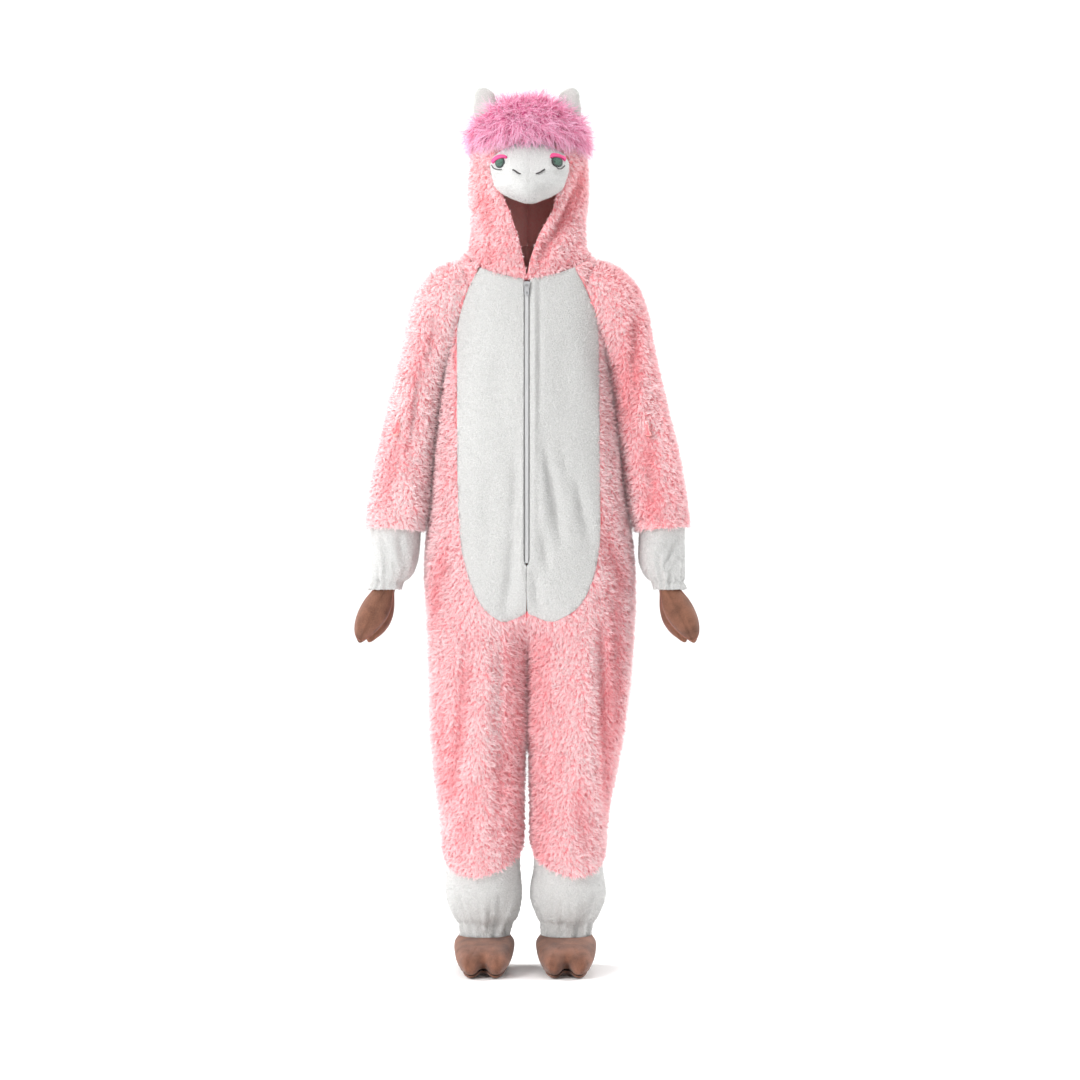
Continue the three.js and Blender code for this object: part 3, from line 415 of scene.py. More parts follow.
def set_out_pile(given, add):
    """Bent blades of pile sown over a cloth, gathered in small curls."""

    def worked(kind, *values):
        return add("ShaderNodeMath", *values, operation=kind).outputs[0]

    def vector(kind, first, second):
        return add("ShaderNodeVectorMath", first, second, operation=kind).outputs[0]

    def scaled(value, times):
        made = add("ShaderNodeVectorMath", value, operation="SCALE", Scale=times)
        return made.outputs[0]

    def chance(low, high, seed_step):
        made = add(
            "FunctionNodeRandomValue", data_type="FLOAT", Min=low, Max=high,
            Seed=worked("ADD", given["Seed"], seed_step),
        )
        return made.outputs[1]

    def remember(geometry, label, value):
        made = add(
            "GeometryNodeStoreNamedAttribute", data_type="FLOAT", domain="POINT",
            Geometry=geometry, Name=label, Value=value,
        )
        return made.outputs[0]

    sown = add(
        "GeometryNodeDistributePointsOnFaces", Mesh=given["Cloth"],
        Density=given["Blades per square metre"], Seed=given["Seed"],
    )

    # the curls: blades lean towards the middle of the curl that they stand in
    place = add("GeometryNodeInputPosition").outputs[0]
    small = scaled(place, worked("DIVIDE", 1.0, given["Curl size"]))
    curls = add(
        "ShaderNodeTexVoronoi", feature="F1", voronoi_dimensions="3D", Vector=small, Scale=1.0
    )
    spread = add(
        "FunctionNodeRandomValue", data_type="FLOAT_VECTOR", Min=(-1, -1, -1), Max=(1, 1, 1),
        Seed=worked("ADD", given["Seed"], 5),
    )
    towards = vector("SUBTRACT", curls.outputs["Position"], small)
    of_curl = vector("SUBTRACT", curls.outputs["Color"], (0.5, 0.5, 0.5))
    aim = vector("ADD", sown.outputs["Normal"], given["Lie"])
    aim = vector("ADD", aim, scaled(towards, given["Gathering"]))
    aim = vector("ADD", aim, scaled(of_curl, worked("MULTIPLY", given["Gathering"], 0.9)))
    aim = vector("ADD", aim, scaled(spread.outputs[0], given["Unruly"]))

    upright = add("FunctionNodeAlignRotationToVector", axis="Z", Vector=aim)
    facing = add(
        "FunctionNodeAlignRotationToVector", axis="Y", pivot_axis="Z",
        Rotation=upright.outputs[0], Vector=sown.outputs["Normal"],
    )
    spin = add("ShaderNodeCombineXYZ", Z=chance(-0.9, 0.9, 9))
    turned = add(
        "FunctionNodeRotateRotation", rotation_space="LOCAL", Rotation=facing.outputs[0],
        Rotate_By=spin.outputs[0],
    )
    apart = add("ShaderNodeSeparateXYZ", curls.outputs["Color"])
    points = remember(sown.outputs["Points"], "shade_of_blade", chance(0.0, 1.0, 13))
    points = remember(points, "shade_of_curl", apart.outputs[0])

    # one blade, bent over and drawn in to its tip
    strip = add(
        "GeometryNodeMeshGrid", Size_X=1.0, Size_Y=1.0, Vertices_X=2,
        Vertices_Y=given["Joints"],
    )
    spot = add("ShaderNodeSeparateXYZ", add("GeometryNodeInputPosition").outputs[0])
    along = worked("ADD", spot.outputs["Y"], 0.5)
    narrowing = worked("SUBTRACT", 1.0, worked("POWER", along, 2.2))
    across = worked("MULTIPLY", spot.outputs["X"], worked("MAXIMUM", narrowing, 0.0))
    hook = worked("MULTIPLY", worked("POWER", along, 2.0), given["Curl"])
    bent = add(
        "ShaderNodeCombineXYZ", X=worked("MULTIPLY", across, given["Width"]),
        Y=worked("MULTIPLY", hook, -1.0), Z=worked("MULTIPLY", along, given["Length"]),
    )
    shaped = add(
        "GeometryNodeSetPosition", Position=bent.outputs[0],
        Geometry=remember(strip.outputs["Mesh"], "along_blade", along),
    )
    pointed = add("GeometryNodeMergeByDistance", Geometry=shaped.outputs[0], Distance=1e-5)
    planted = add(
        "GeometryNodeInstanceOnPoints", Points=points, Instance=pointed.outputs[0],
        Rotation=turned.outputs[0], Scale=chance(0.6, 1.25, 21),
    )
    return planted.outputs[0]


def pile_tree(name):
    """A node tree that sows pile over a cloth."""
    return growing_tree(
        name, "Cloth", set_out_pile, Blades_per_square_metre=100000.0, Length=0.012,
        Width=0.0026, Curl=0.005, Curl_size=0.011, Gathering=0.7, Unruly=0.35,
        Lie=(0, 0, -0.5), Joints=3, Seed=1,
    )


def grown(name, bed, tree, finish, **sizes):
    """What a node tree grows on a bed, as a plain piece."""
    work = new_piece(name + "_bed", bed.copy())
    step = work.modifiers.new("growing", "NODES")
    step.node_group = tree
    sockets = {s.name: s.identifier for s in tree.interface.items_tree if s.in_out == "INPUT"}
    step[sockets["Finish"]] = finish
    for label, value in sizes.items():
        step[sockets[label.replace("_", " ")]] = value
    work.data.update()
    made = baked(work)
    if not made.materials:
        made.materials.append(finish)
    return new_piece(name, made)


def give_wall(piece, thickness, inside=0):
    """Turns a skin into a thin closed cloth, its wall lying inwards."""
    wall = piece.modifiers.new("wall", "SOLIDIFY")
    wall.thickness = thickness
    wall.offset = -1
    wall.material_offset = inside
    wall.material_offset_rim = inside


def noted(add, label):
    """A value that each point of a piece carries under a label."""
    return add("ShaderNodeAttribute", attribute_name=label).outputs["Fac"]


def shared(add, value, share, rest):
    """A share of one value on top of another."""
    return add("ShaderNodeMath", value, share, rest, operation="MULTIPLY_ADD").outputs[0]


def noise(add, scale, detail, **settings):
    """A noise that stays with the piece."""
    where = add("ShaderNodeTexCoord").outputs["Object"]
    made = add("ShaderNodeTexNoise", Vector=where, Scale=scale, Detail=detail, **settings)
    return made.outputs["Fac"]


def raised(add, height, strength, distance, **settings):
    """A surface that rises and falls with a value."""
    made = add(
        "ShaderNodeBump", Strength=strength, Distance=distance, Height=height, **settings
    )
    return made.outputs["Normal"]


def mottled(name, scale, detail, dark, light, rise=None, **looks):
    """A material that a noise varies between two tones, and may raise."""
    made, add, look = node_material(name)
    value = noise(add, scale, detail)
    look(Base_Color=tones(add, value, dark, light), **looks)
    if rise:
        look(Normal=raised(add, value, *rise))
    return made


plush_pile, add, look = node_material("plush_pile")
tone = shared(add, noted(add, "shade_of_curl"), 0.22, noted(add, "along_blade"))
tone = shared(add, noted(add, "shade_of_blade"), 0.34, tone)
tone = shared(add, noise(add, 17.0, 3.0), 0.6, tone)
# Painted shade deepens the pile's colour here, and painted light lifts it.
tone = shared(add, noted(add, "painted_shade_and_light"), -0.5, tone)
tone = add("ShaderNodeMath", tone, 0.38, operation="SUBTRACT").outputs[0]
tone = tones(add, tone, (0, PILE_ROOT), (0.45, PILE_MIDDLE), (1, PILE_TIP))
look(Base_Color=tone, Roughness=0.75, Sheen_Weight=0.25, Sheen_Roughness=0.5)

plush_cloth = mottled(
    "plush_cloth", 140.0, 4.0, (0.35, PILE_ROOT), (0.7, (0.9, 0.24, 0.27)),
    rise=(0.8, 0.002), Roughness=0.9,
)

plush_back, add, look = node_material("plush_back")
where = add("ShaderNodeTexCoord").outputs["Object"]
knit = add("ShaderNodeTexVoronoi", Vector=where, Scale=420.0).outputs["Distance"]
tone = tones(add, knit, (0, (1.0, 0.60, 0.56)), (1, (1.0, 0.42, 0.40)))
look(Base_Color=tone, Normal=raised(add, knit, 0.5, 0.0008, invert=True), Roughness=0.9)

curly_pile = pile_tree("curly_pile")


def rest_on_body(skin):
    """Lets the inner side of a sleeve lie against the body, from the armpit to the hem."""
    points, normals = points_and_normals(skin)
    inwards = np.clip(-normals[:, 0] * np.sign(points[:, 0]), 0, 1)
    above_hem = past(points[:, 2], -0.53, 0.05)
    shift = ARM_LEAN * inwards * above_hem
    set_points(skin, points + normals * shift[:, None])
    # Painted shade on the inner side, where the sleeve lies against the body.
    paint_shade(skin, inwards * above_hem * 0.2)


def close_crotch(skin):
    """Lets the two legs touch from the crotch to above the knee."""
    points, normals = points_and_normals(skin)
    inwards = np.clip(-normals[:, 0] * np.sign(points[:, 0]), 0, 1)
    inner = inwards * (np.abs(points[:, 0]) < 0.05) * (points[:, 2] < -0.55)
    shift = LEG_LEAN * inner * past(points[:, 2], -0.96, 0.04)
    set_points(skin, points + normals * shift[:, None])
    # Painted shade on the inner legs, where they touch.
    paint_shade(skin, inner * 0.9)


def fill_shoulders(skin):
    """Lifts the shoulders and the hood's foot, where the plush stands off the wearer."""
    points, normals = points_and_normals(skin)
    height = points[:, 2]
    upwards = np.clip(normals[:, 2], 0, 1)
    near_top = past(height, -0.16, 0.06) * past(height, 0.045, -0.05)
    off_neck = past(np.abs(points[:, 0]), 0.05, 0.03)
    shift = SHOULDER_LIFT * upwards * near_top * off_neck
    set_points(skin, points + normals * shift[:, None])


def paint_light(skin, amount):
    """Paints light into the pile all over, so that its pale tips show more."""
    marks = np.empty(len(skin.vertices))
    skin.attributes["painted_shade_and_light"].data.foreach_get("value", marks)
    skin.attributes["painted_shade_and_light"].data.foreach_set("value", marks - amount)


def plush_panel(name, nodes, creases, seed, sewn, painted_light=0.0):
    """One panel of plush: its cloth, its pile, and what the two stand for. creases holds
    those of the front and those of the back."""
    beds = []
    for finer, lift, allowance in (
        (2, -PILE_REACH, 0),
        (1, -PILE_REACH - CLOTH_WALL / 2, ALLOWANCE),
    ):
        skin = outer_skin(nodes, finer, lift, allowance=allowance, sewn=sewn)
        press_creases(skin, creases[0], 1)
        press_creases(skin, creases[1], -1)
        if name.startswith("sleeve"):
            rest_on_body(skin)
        elif not name.startswith("hood"):
            close_crotch(skin)
        fill_shoulders(skin)
        # Painted light: the panel's last argument lifts the pile's colour, standing in for
        # light falling on it.
        paint_light(skin, painted_light)
        beds.append(skin)
    fur = grown(
        name + "_pile", beds[0], curly_pile, plush_pile,
        Blades_per_square_metre=PILE_PER_SQUARE_METRE, Length=0.0098, Width=0.0019,
        Curl=0.003, Curl_size=0.0062, Gathering=0.75, Unruly=0.42, Joints=2, Seed=seed,
    )
    cloth = new_piece(name + "_cloth", beds[1], plush_cloth, plush_back)
    give_wall(cloth, CLOTH_WALL, 1)
    for piece in (cloth, fur):
        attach(piece, "garment")
    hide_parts(*nodes)
    return cloth


# The front panels have a little light painted into their pile, to lift the chest where the arms
# shade it.
for side, seed in (("right", 11), ("left", 12)):
    cloth = plush_panel(
        "front_" + side, ("front_" + side,), (FRONT_CREASES, []), seed,
        sewn=lambda p: -1.12 < p.z < -0.04, painted_light=0.15,
    )

# Back panels of the body.
# Two back panels of the same plush meet in a seam down the middle of the back and in the
# inner leg, and are sewn to the front panels down the sides.
BACK_CREASES = [
    ((-40, -60), (-62, -300), 15, 6),
    ((52, -80), (60, -330), 15, 6),
    ((-118, -300), (-80, -560), 13, 10),
    ((120, -280), (86, -540), 13, 10),
    ((-20, -420), (-36, -640), 14, 6),
    ((30, -460), (22, -640), 13, 6),
    ((-150, -760), (-140, -1060), 11, 10),
    ((150, -740), (146, -1080), 11, 10),
    ((-70, -820), (-58, -1100), 14, 8),
    ((64, -860), (72, -1110), 14, 8),
    ((-30, -720), (-100, -800), 12, 8),
    ((34, -730), (96, -810), 12, 8),
]
for side, seed in (("right", 13), ("left", 14)):
    cloth = plush_panel(
        "back_" + side, ("back_" + side,), ([], BACK_CREASES), seed,
        sewn=lambda p: p.z > -1.12,
    )

# Sleeves.
# Each sleeve is one piece of the same plush, closed by a seam under the arm, and hangs from
# the shoulder to a plain turned hem over the white cuff.
SLEEVE_CREASES = [
    ((-214, -140), (-240, -430), 12, 9),
    ((-250, -310), (-290, -500), 14, 9),
    ((-180, -90), (-214, -240), 12, 8),
    ((-238, -420), (-232, -520), 12, -5),
    ((-276, -250), (-290, -380), 12, 6),
    ((214, -90), (214, -340), 11, 18),
    ((178, -150), (196, -320), 13, 10),
    ((232, -310), (264, -520), 14, 10),
    ((270, -290), (300, -490), 14, -6),
    ((246, -410), (240, -520), 12, 7),
    ((250, -120), (276, -260), 12, 6),
]
SLEEVE_BACK_CREASES = [
    ((-200, -130), (-226, -330), 11, 10),
    ((-240, -300), (-262, -490), 12, 8),
    ((202, -140), (230, -350), 11, 10),
    ((238, -300), (270, -480), 12, 8),
]
# The wearer's right sleeve has much light painted into its pile and the left little, on the
# side the key light falls from.
for side, seed, painted_light in (("right", 15, 0.55), ("left", 16, 0.05)):
    cloth = plush_panel(
        "sleeve_" + side, ("sleeve_upper_" + side, "sleeve_lower_" + side),
        (SLEEVE_CREASES, SLEEVE_BACK_CREASES), seed,
        sewn=lambda p: -0.49 < p.z < -0.04, painted_light=painted_light,
    )

# Hood.
# Two halves of the plush meet in a seam from the forehead over the crown to the neck. The
# front edges are turned in, and the one on the wearer's left rolls outwards to the throat.
HOOD_CREASES = [
    ((116, 196), (88, 116), 11, 14),
    ((98, 146), (52, 50), 11, 18),
    ((66, 84), (16, -6), 10, 12),
    ((84, 166), (34, 60), 9, -5),
    ((-92, 180), (-66, 50), 15, 6),
    ((-62, 50), (-88, -26), 13, 7),
    ((76, 26), (96, -28), 13, 7),
]
HOOD_BACK_CREASES = [
    ((-60, 60), (-20, 10), 12, 8),
    ((64, 66), (24, 14), 12, 8),
    ((-84, 30), (-60, -10), 10, 6),
]
for side, seed in (("right", 17), ("left", 18)):
    cloth = plush_panel(
        "hood_" + side, ("hood_" + side,), (HOOD_CREASES, HOOD_BACK_CREASES), seed,
        sewn=lambda p: p.y > -0.05 and (p.z < 0.07 or p.z > 0.2) or p.z < -0.02,
    )

# Belly.
# Two pieces of white fleece, one each side of the zip, sewn into the plush with a plain
# seam. Soft creases fall from the zip's lower half towards the crotch.
FLEECE_WALL = 0.0022
ELASTIC_PINCH = 0.0034
BELLY_CREASES = [
    ((-22, 1030), (-24, 878), 8, 8),
    ((-24, 890), (-36, 760), 9, 8),
    ((28, 1050), (50, 960), 10, 7),
    ((46, 990), (70, 840), 10, 10),
    ((58, 1050), (96, 950), 10, 7),
    ((90, 980), (124, 860), 11, 9),
    ((32, 890), (40, 790), 9, 7),
    ((-9, 1060), (-11, 740), 8, -5),
    ((24, 1060), (36, 850), 9, -5),
    ((-70, 1010), (-80, 790), 20, 5),
    ((-52, 1250), (-62, 1070), 22, 4),
    ((70, 1260), (78, 1080), 22, 4),
    ((14, 800), (24, 712), 10, 7),
    ((-26, 800), (-46, 708), 11, 7),
    ((84, 1020), (96, 900), 9, -4),
    ((15, 1420), (15, 1080), 5, -4),
    ((15, 1240), (14, 830), 5, -4),
    ((26, 1400), (25, 1090), 5, 3),
]
fleece, add, look = node_material("white_fleece")
where = add("ShaderNodeTexCoord").outputs["Object"]
loops = add(
    "ShaderNodeTexVoronoi", feature="SMOOTH_F1", Vector=where, Scale=480.0, Smoothness=0.6
)
cloudy = add("ShaderNodeTexNoise", Vector=where, Scale=420.0, Detail=3.0, Roughness=0.6)
knobs = shared(add, loops.outputs["Distance"], -0.9, cloudy.outputs["Fac"])
tone = tones(add, knobs, (0, (0.60, 0.60, 0.59)), (0.55, (0.78, 0.775, 0.765)))
look(
    Base_Color=tone, Normal=raised(add, knobs, 0.9, 0.0022), Roughness=0.92,
    Sheen_Weight=0.3, Sheen_Roughness=0.6,
)


def above_floor(creases):
    """Creases whose heights are counted from the floor, in the frame's own heights."""
    return [((x0, z0 - 1400), (x1, z1 - 1400), w, d) for (x0, z0), (x1, z1), w, d in creases]


fleece_nap = pile_tree("fleece_nap")
nap_finish, add, look = node_material("fleece_nap")
tone = noted(add, "shade_of_blade")
tone = tones(add, tone, (0, (0.62, 0.62, 0.61)), (1, (0.80, 0.795, 0.785)))
look(Base_Color=tone, Roughness=0.9, Sheen_Weight=0.2)


def nap_over(name, skin, seed, **sizes):
    """The short nap of fleece over a skin, one fine blade for each loop that stands up."""
    settings = {
        "Blades_per_square_metre": 170000.0, "Length": 0.0034, "Width": 0.0011,
        "Curl": 0.0012, "Curl_size": 0.005, "Gathering": 0.5, "Unruly": 0.8,
        "Lie": (0, 0, -0.35), "Joints": 2, "Seed": seed, **sizes,
    }
    nap = grown(name + "_nap", skin, fleece_nap, nap_finish, **settings)
    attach(nap, "garment")
    return nap


def fleece_piece(node, creases, seed, gathers=None):
    """A piece of fleece: its cloth with creases in front and behind, and its nap."""
    skin = outer_skin((node,), 2, 0)
    press_creases(skin, creases[0], 1)
    press_creases(skin, creases[1], -1)
    if gathers:
        draw_in(skin, *gathers)
    nap_over(node, skin, seed)
    cloth = new_piece(node + "_cloth", skin, fleece)
    give_wall(cloth, FLEECE_WALL)
    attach(cloth, "garment")
    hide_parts(node)
    return cloth


def draw_in(skin, middle, top, elastic, waves, depth):
    """Gathers a tube on an elastic: uneven pleats that deepen towards it."""
    points, normals = points_and_normals(skin)
    turn = np.arctan2(points[:, 1] - middle[1], points[:, 0] - middle[0])
    height = points[:, 2]
    reach = past(height, top, elastic - top) ** 1.6
    pleat = np.sin(waves * turn + 1.4 * np.sin(3 * turn) + 9 * height)
    pleat += 0.5 * np.sin((waves + 6) * turn + 2 * np.sin(2 * turn) - 30 * height)
    pinch = ELASTIC_PINCH * np.exp(-(((height - elastic) / 0.005) ** 2))
    moved = depth * reach * pleat - pinch
    set_points(skin, points + normals * moved[:, None])


for side, seed in (("right", 41), ("left", 42)):
    cloth = fleece_piece("belly_" + side, (above_floor(BELLY_CREASES), []), seed)

# Zip.
# Two knitted tapes are sewn behind the belly's edges, and each carries a row of close-set
# moulded teeth. The slider and its pull tab are cast metal, and the slider stands at the top.
ZIP_TOP, ZIP_FOOT = -37, -588
TOOTH_PITCH, TOOTH_WIDTH, TOOTH_THICK = 0.0021, 0.0027, 0.0013


def surface_of(mesh):
    """A mesh's surface, for finding where a line from outside meets it."""
    shape = bmesh.new()
    shape.from_mesh(mesh)
    shape.normal_update()
    surface = BVHTree.FromBMesh(shape)
    shape.free()
    return surface


def rounded_line(places, parts=8, closed=False):
    """More places along a smooth line through the given ones."""
    places = [np.array(p, dtype=float) for p in places]
    count = len(places)
    fine = []
    for i in range(count if closed else count - 1):
        a, b, c, d = (
            places[j % count] if closed else places[min(max(j, 0), count - 1)]
            for j in (i - 1, i, i + 1, i + 2)
        )
        for t in np.arange(parts) / parts:
            fine.append(
                0.5 * (2 * b + (c - a) * t + (2 * a - 5 * b + 4 * c - d) * t ** 2
                       + (3 * b - a - 3 * c + d) * t ** 3)
            )
    if not closed:
        fine.append(places[-1])
    return fine


def met(surface, casts, lift):
    """Where lines from a start in a direction meet a surface, and the ways out there."""
    points, ways = [], []
    for start, direction in casts:
        spot, way, _, _ = surface.ray_cast(start, direction)
        if spot:
            points.append(spot + way * lift)
            ways.append(way)
    return points, ways


def laid_on(surface, places, lift=0.0):
    """A smooth line through places, x and z in millimetres, laid on a surface's front."""
    inwards = Vector((0, 1, 0))
    casts = [(Vector((x / 1000, -1, z / 1000)), inwards) for x, z in rounded_line(places)]
    return met(surface, casts, lift)


def set_out_stitches(given, add):
    """Small rounded stitches or teeth, evenly along lines on a surface."""
    curve = add("GeometryNodeMeshToCurve", Mesh=given["Lines"])
    spaced = add(
        "GeometryNodeResampleCurve", mode="LENGTH", Curve=curve.outputs[0],
        Length=given["Pitch"],
    )
    way = add("GeometryNodeInputNamedAttribute", data_type="FLOAT_VECTOR", Name="way_out")
    upright = add(
        "FunctionNodeAlignRotationToVector", axis="Z", Vector=way.outputs["Attribute"]
    )
    along = add(
        "FunctionNodeAlignRotationToVector", axis="X", pivot_axis="Z",
        Rotation=upright.outputs[0], Vector=add("GeometryNodeInputTangent").outputs[0],
    )
    turn = add("ShaderNodeCombineXYZ", Z=given["Turn"])
    turned = add(
        "FunctionNodeRotateRotation", rotation_space="LOCAL", Rotation=along.outputs[0],
        Rotate_By=turn.outputs[0],
    )
    knob = add("GeometryNodeMeshUVSphere", Segments=6, Rings=4, Radius=0.5)
    size = add(
        "ShaderNodeCombineXYZ", X=given["Length"], Y=given["Thickness"], Z=given["Thickness"]
    )
    placed = add(
        "GeometryNodeInstanceOnPoints", Points=spaced.outputs[0],
        Instance=knob.outputs["Mesh"], Rotation=turned.outputs[0], Scale=size.outputs[0],
    )
    return placed.outputs[0]


stitches = growing_tree(
    "stitches", "Lines", set_out_stitches, Pitch=0.004, Length=0.0025, Thickness=0.0008,
    Turn=0.0,
)


def stitch_along(name, lines, finish, slot, **sizes):
    """Stitches along lines, each of which is its points and the surface's ways out."""
    mesh = bpy.data.meshes.new(name + "_lines")
    points, ways, edges = [], [], []
    for line_points, line_ways in lines:
        start = len(points)
        edges += [(start + i, start + i + 1) for i in range(len(line_points) - 1)]
        points += line_points
        ways += line_ways
    mesh.from_pydata([tuple(p) for p in points], edges, [])
    kept = mesh.attributes.new("way_out", "FLOAT_VECTOR", "POINT")
    kept.data.foreach_set("vector", np.array([tuple(w) for w in ways]).ravel())
    piece = grown(name, mesh, stitches, finish, **sizes)
    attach(piece, "garment")
    return piece


knit_tape, add, look = node_material("knit_tape")
where = add("ShaderNodeTexCoord").outputs["Object"]
ribs = add(
    "ShaderNodeTexWave", bands_direction="Z", Vector=where, Scale=420.0, Distortion=0.6,
    Detail=2.0,
).outputs["Fac"]
tone = tones(add, ribs, (0, (0.50, 0.50, 0.50)), (1, (0.72, 0.72, 0.72)))
look(Base_Color=tone, Normal=raised(add, ribs, 0.6, 0.0005), Roughness=0.8)

tooth_finish = mottled(
    "moulded_teeth", 600.0, 2.0, (0, (0.60, 0.60, 0.61)), (1, (0.78, 0.78, 0.79)),
    Roughness=0.35,
)
cast_metal = mottled(
    "cast_metal", 900.0, 4.0, (0, (0.30, 0.30, 0.31)), (1, (0.52, 0.52, 0.53)),
    rise=(0.25, 0.0002), Metallic=1.0, Roughness=0.4,
)

for side in ("right", "left"):
    skin = outer_skin(("zip_tape_" + side,), 1, 0, thickest=0.003)
    tape = new_piece("zip_tape_cloth_" + side, skin, knit_tape)
    give_wall(tape, 0.0009)
    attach(tape, "garment")
    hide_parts("zip_tape_" + side)
for node, finish in (("zip_chain", knit_tape), ("zip_slider", cast_metal),
                     ("zip_pull", cast_metal)):
    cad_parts[node].data.materials.clear()
    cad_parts[node].data.materials.append(finish)
chain = surface_of(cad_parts["zip_chain"].data)
rows = []
for x, drop in ((-1.15, 0.0), (1.15, 1.05)):
    heights = np.linspace(ZIP_TOP - 18 - drop, ZIP_FOOT, 60)
    rows.append(laid_on(chain, [(x, z) for z in heights], 0.0001))
stitch_along(
    "zip_teeth", rows, tooth_finish, "zip_tape",
    Pitch=TOOTH_PITCH, Length=TOOTH_WIDTH, Thickness=TOOTH_THICK, Turn=math.pi / 2,
)

# Cuffs.
# White fleece tubes sewn inside the sleeve hems, drawn in at the wrist by an elastic, from
# which creases run up slantwise.
CUFF_CREASES = [
    ((-300, -520), (-262, -596), 7, 7),
    ((-288, -560), (-270, -624), 6, 7),
    ((-252, -516), (-244, -590), 8, 5),
    ((-306, -570), (-294, -612), 6, 4),
    ((-264, -580), (-262, -612), 5, 4),
    ((306, -530), (268, -606), 7, 7),
    ((286, -540), (250, -586), 7, 7),
    ((302, -570), (288, -610), 6, 5),
    ((256, -560), (262, -628), 6, 5),
    ((272, -580), (276, -612), 5, 4),
]
for side, seed in (("right", 43), ("left", 44)):
    wrist = (0.281 if side == "left" else -0.281, -0.036)
    cloth = fleece_piece(
        "cuff_" + side, (CUFF_CREASES, CUFF_CREASES), seed,
        gathers=(wrist, -0.55, -0.627, 11, 0.0025),
    )

# Lower legs.
# White fleece tubes sewn inside the plush legs and drawn in above the boots by an elastic.
# They are fuller than the cuffs, so that more creases run down into the gathers.
LOWER_LEG_CREASES = [
    ((-140, -1230), (-118, -1318), 8, 7),
    ((-116, -1250), (-106, -1330), 7, 7),
    ((-96, -1240), (-90, -1334), 8, 5),
    ((-72, -1256), (-76, -1334), 7, 7),
    ((-50, -1240), (-60, -1322), 7, 7),
    ((-28, -1226), (-48, -1312), 8, 5),
    ((-146, -1262), (-128, -1310), 7, 5),
    ((136, -1236), (112, -1320), 8, 7),
    ((114, -1256), (98, -1332), 7, 7),
    ((88, -1240), (84, -1334), 8, 5),
    ((66, -1254), (72, -1332), 7, 7),
    ((42, -1238), (54, -1318), 7, 7),
    ((24, -1230), (38, -1306), 7, 5),
    ((150, -1250), (126, -1308), 8, 5),
]
for side, seed in (("right", 45), ("left", 46)):
    ankle = (0.078 if side == "left" else -0.085, 0.008)
    cloth = fleece_piece(
        "lower_leg_" + side, (LOWER_LEG_CREASES, LOWER_LEG_CREASES), seed,
        gathers=(ankle, -1.26, -1.309, 13, 0.0034),
    )

# Mitts and boots.
# Cloven hooves of brown suede cloth, each lobe cut in two and seamed down its middle with
# a row of stitches on both sides of the seam. The boots have a sole stitched on all round.
suede, add, look = node_material("brown_suede")
nap = noise(add, 520.0, 4.0)
tone = shared(add, nap, 0.6, noise(add, 34.0, 4.0))
tone = tones(add, tone, (0.5, (0.085, 0.034, 0.020)), (1, (0.25, 0.105, 0.062)))
look(
    Base_Color=tone, Normal=raised(add, nap, 0.6, 0.0009), Roughness=0.88,
    Sheen_Weight=0.15, Sheen_Roughness=0.5,
)
TOE_SPLIT, TOE_NOTCH = 0.027, 0.013  # how far the cleft runs in from the front and below
brown_thread = mottled(
    "brown_thread", 1500.0, 2.0, (0, (0.10, 0.04, 0.025)), (1, (0.26, 0.12, 0.08)),
    Roughness=0.7,
)


def rounded_solid(name, nodes, finer=2):
    """A closed piece on the form of one or more solids, with its facets rounded."""
    shape = bmesh.new()
    for node in nodes:
        shape.from_mesh(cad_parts[node].data)
    bmesh.ops.remove_doubles(shape, verts=shape.verts, dist=2e-5)
    bmesh.ops.join_triangles(
        shape, faces=shape.faces, angle_face_threshold=0.5, angle_shape_threshold=1.2
    )
    mesh = bpy.data.meshes.new(name)
    shape.to_mesh(mesh)
    shape.free()
    return rounded(mesh, finer)


def press_seam(mesh, line, width, depth):
    """A narrow groove along a line of points on the surface."""
    points, normals = points_and_normals(mesh)
    along = np.array([tuple(p) for p in line])
    nearest = np.full(len(points), 1.0)
    for a, b in zip(along, along[1:]):
        run = b - a
        t = np.clip(((points - a) @ run) / max(run @ run, 1e-12), 0, 1)
        gap = np.linalg.norm(points - a - t[:, None] * run, axis=1)
        nearest = np.minimum(nearest, gap)
    set_points(mesh, points - normals * (depth * np.exp(-(nearest / width) ** 2))[:, None])


def beside(places, offset):
    """The same line moved sideways by an offset in millimetres."""
    moved = []
    for i, (x, z) in enumerate(places):
        x0, z0 = places[max(i - 1, 0)]
        x1, z1 = places[min(i + 1, len(places) - 1)]
        size = math.hypot(x1 - x0, z1 - z0)
        moved.append((x - (z1 - z0) / size * offset, z + (x1 - x0) / size * offset))
    return moved


def split_toes(mesh, middle):
    """Parts the front of a boot in two toes, from its instep down to the sole."""
    points, _ = points_and_normals(mesh)
    across = np.abs(points[:, 0] - middle / 1000)
    front = past(points[:, 1], -0.05, -0.05)
    down = past(points[:, 2], -1.345, -0.04)
    points[:, 1] += TOE_SPLIT * np.exp(-((across / 0.0085) ** 2)) * front * down
    low = past(points[:, 2], -1.368, -0.02)
    toe = past(points[:, 1], -0.10, -0.04)
    points[:, 2] += TOE_NOTCH * np.exp(-((across / 0.011) ** 2)) * toe * low
    set_points(mesh, points)


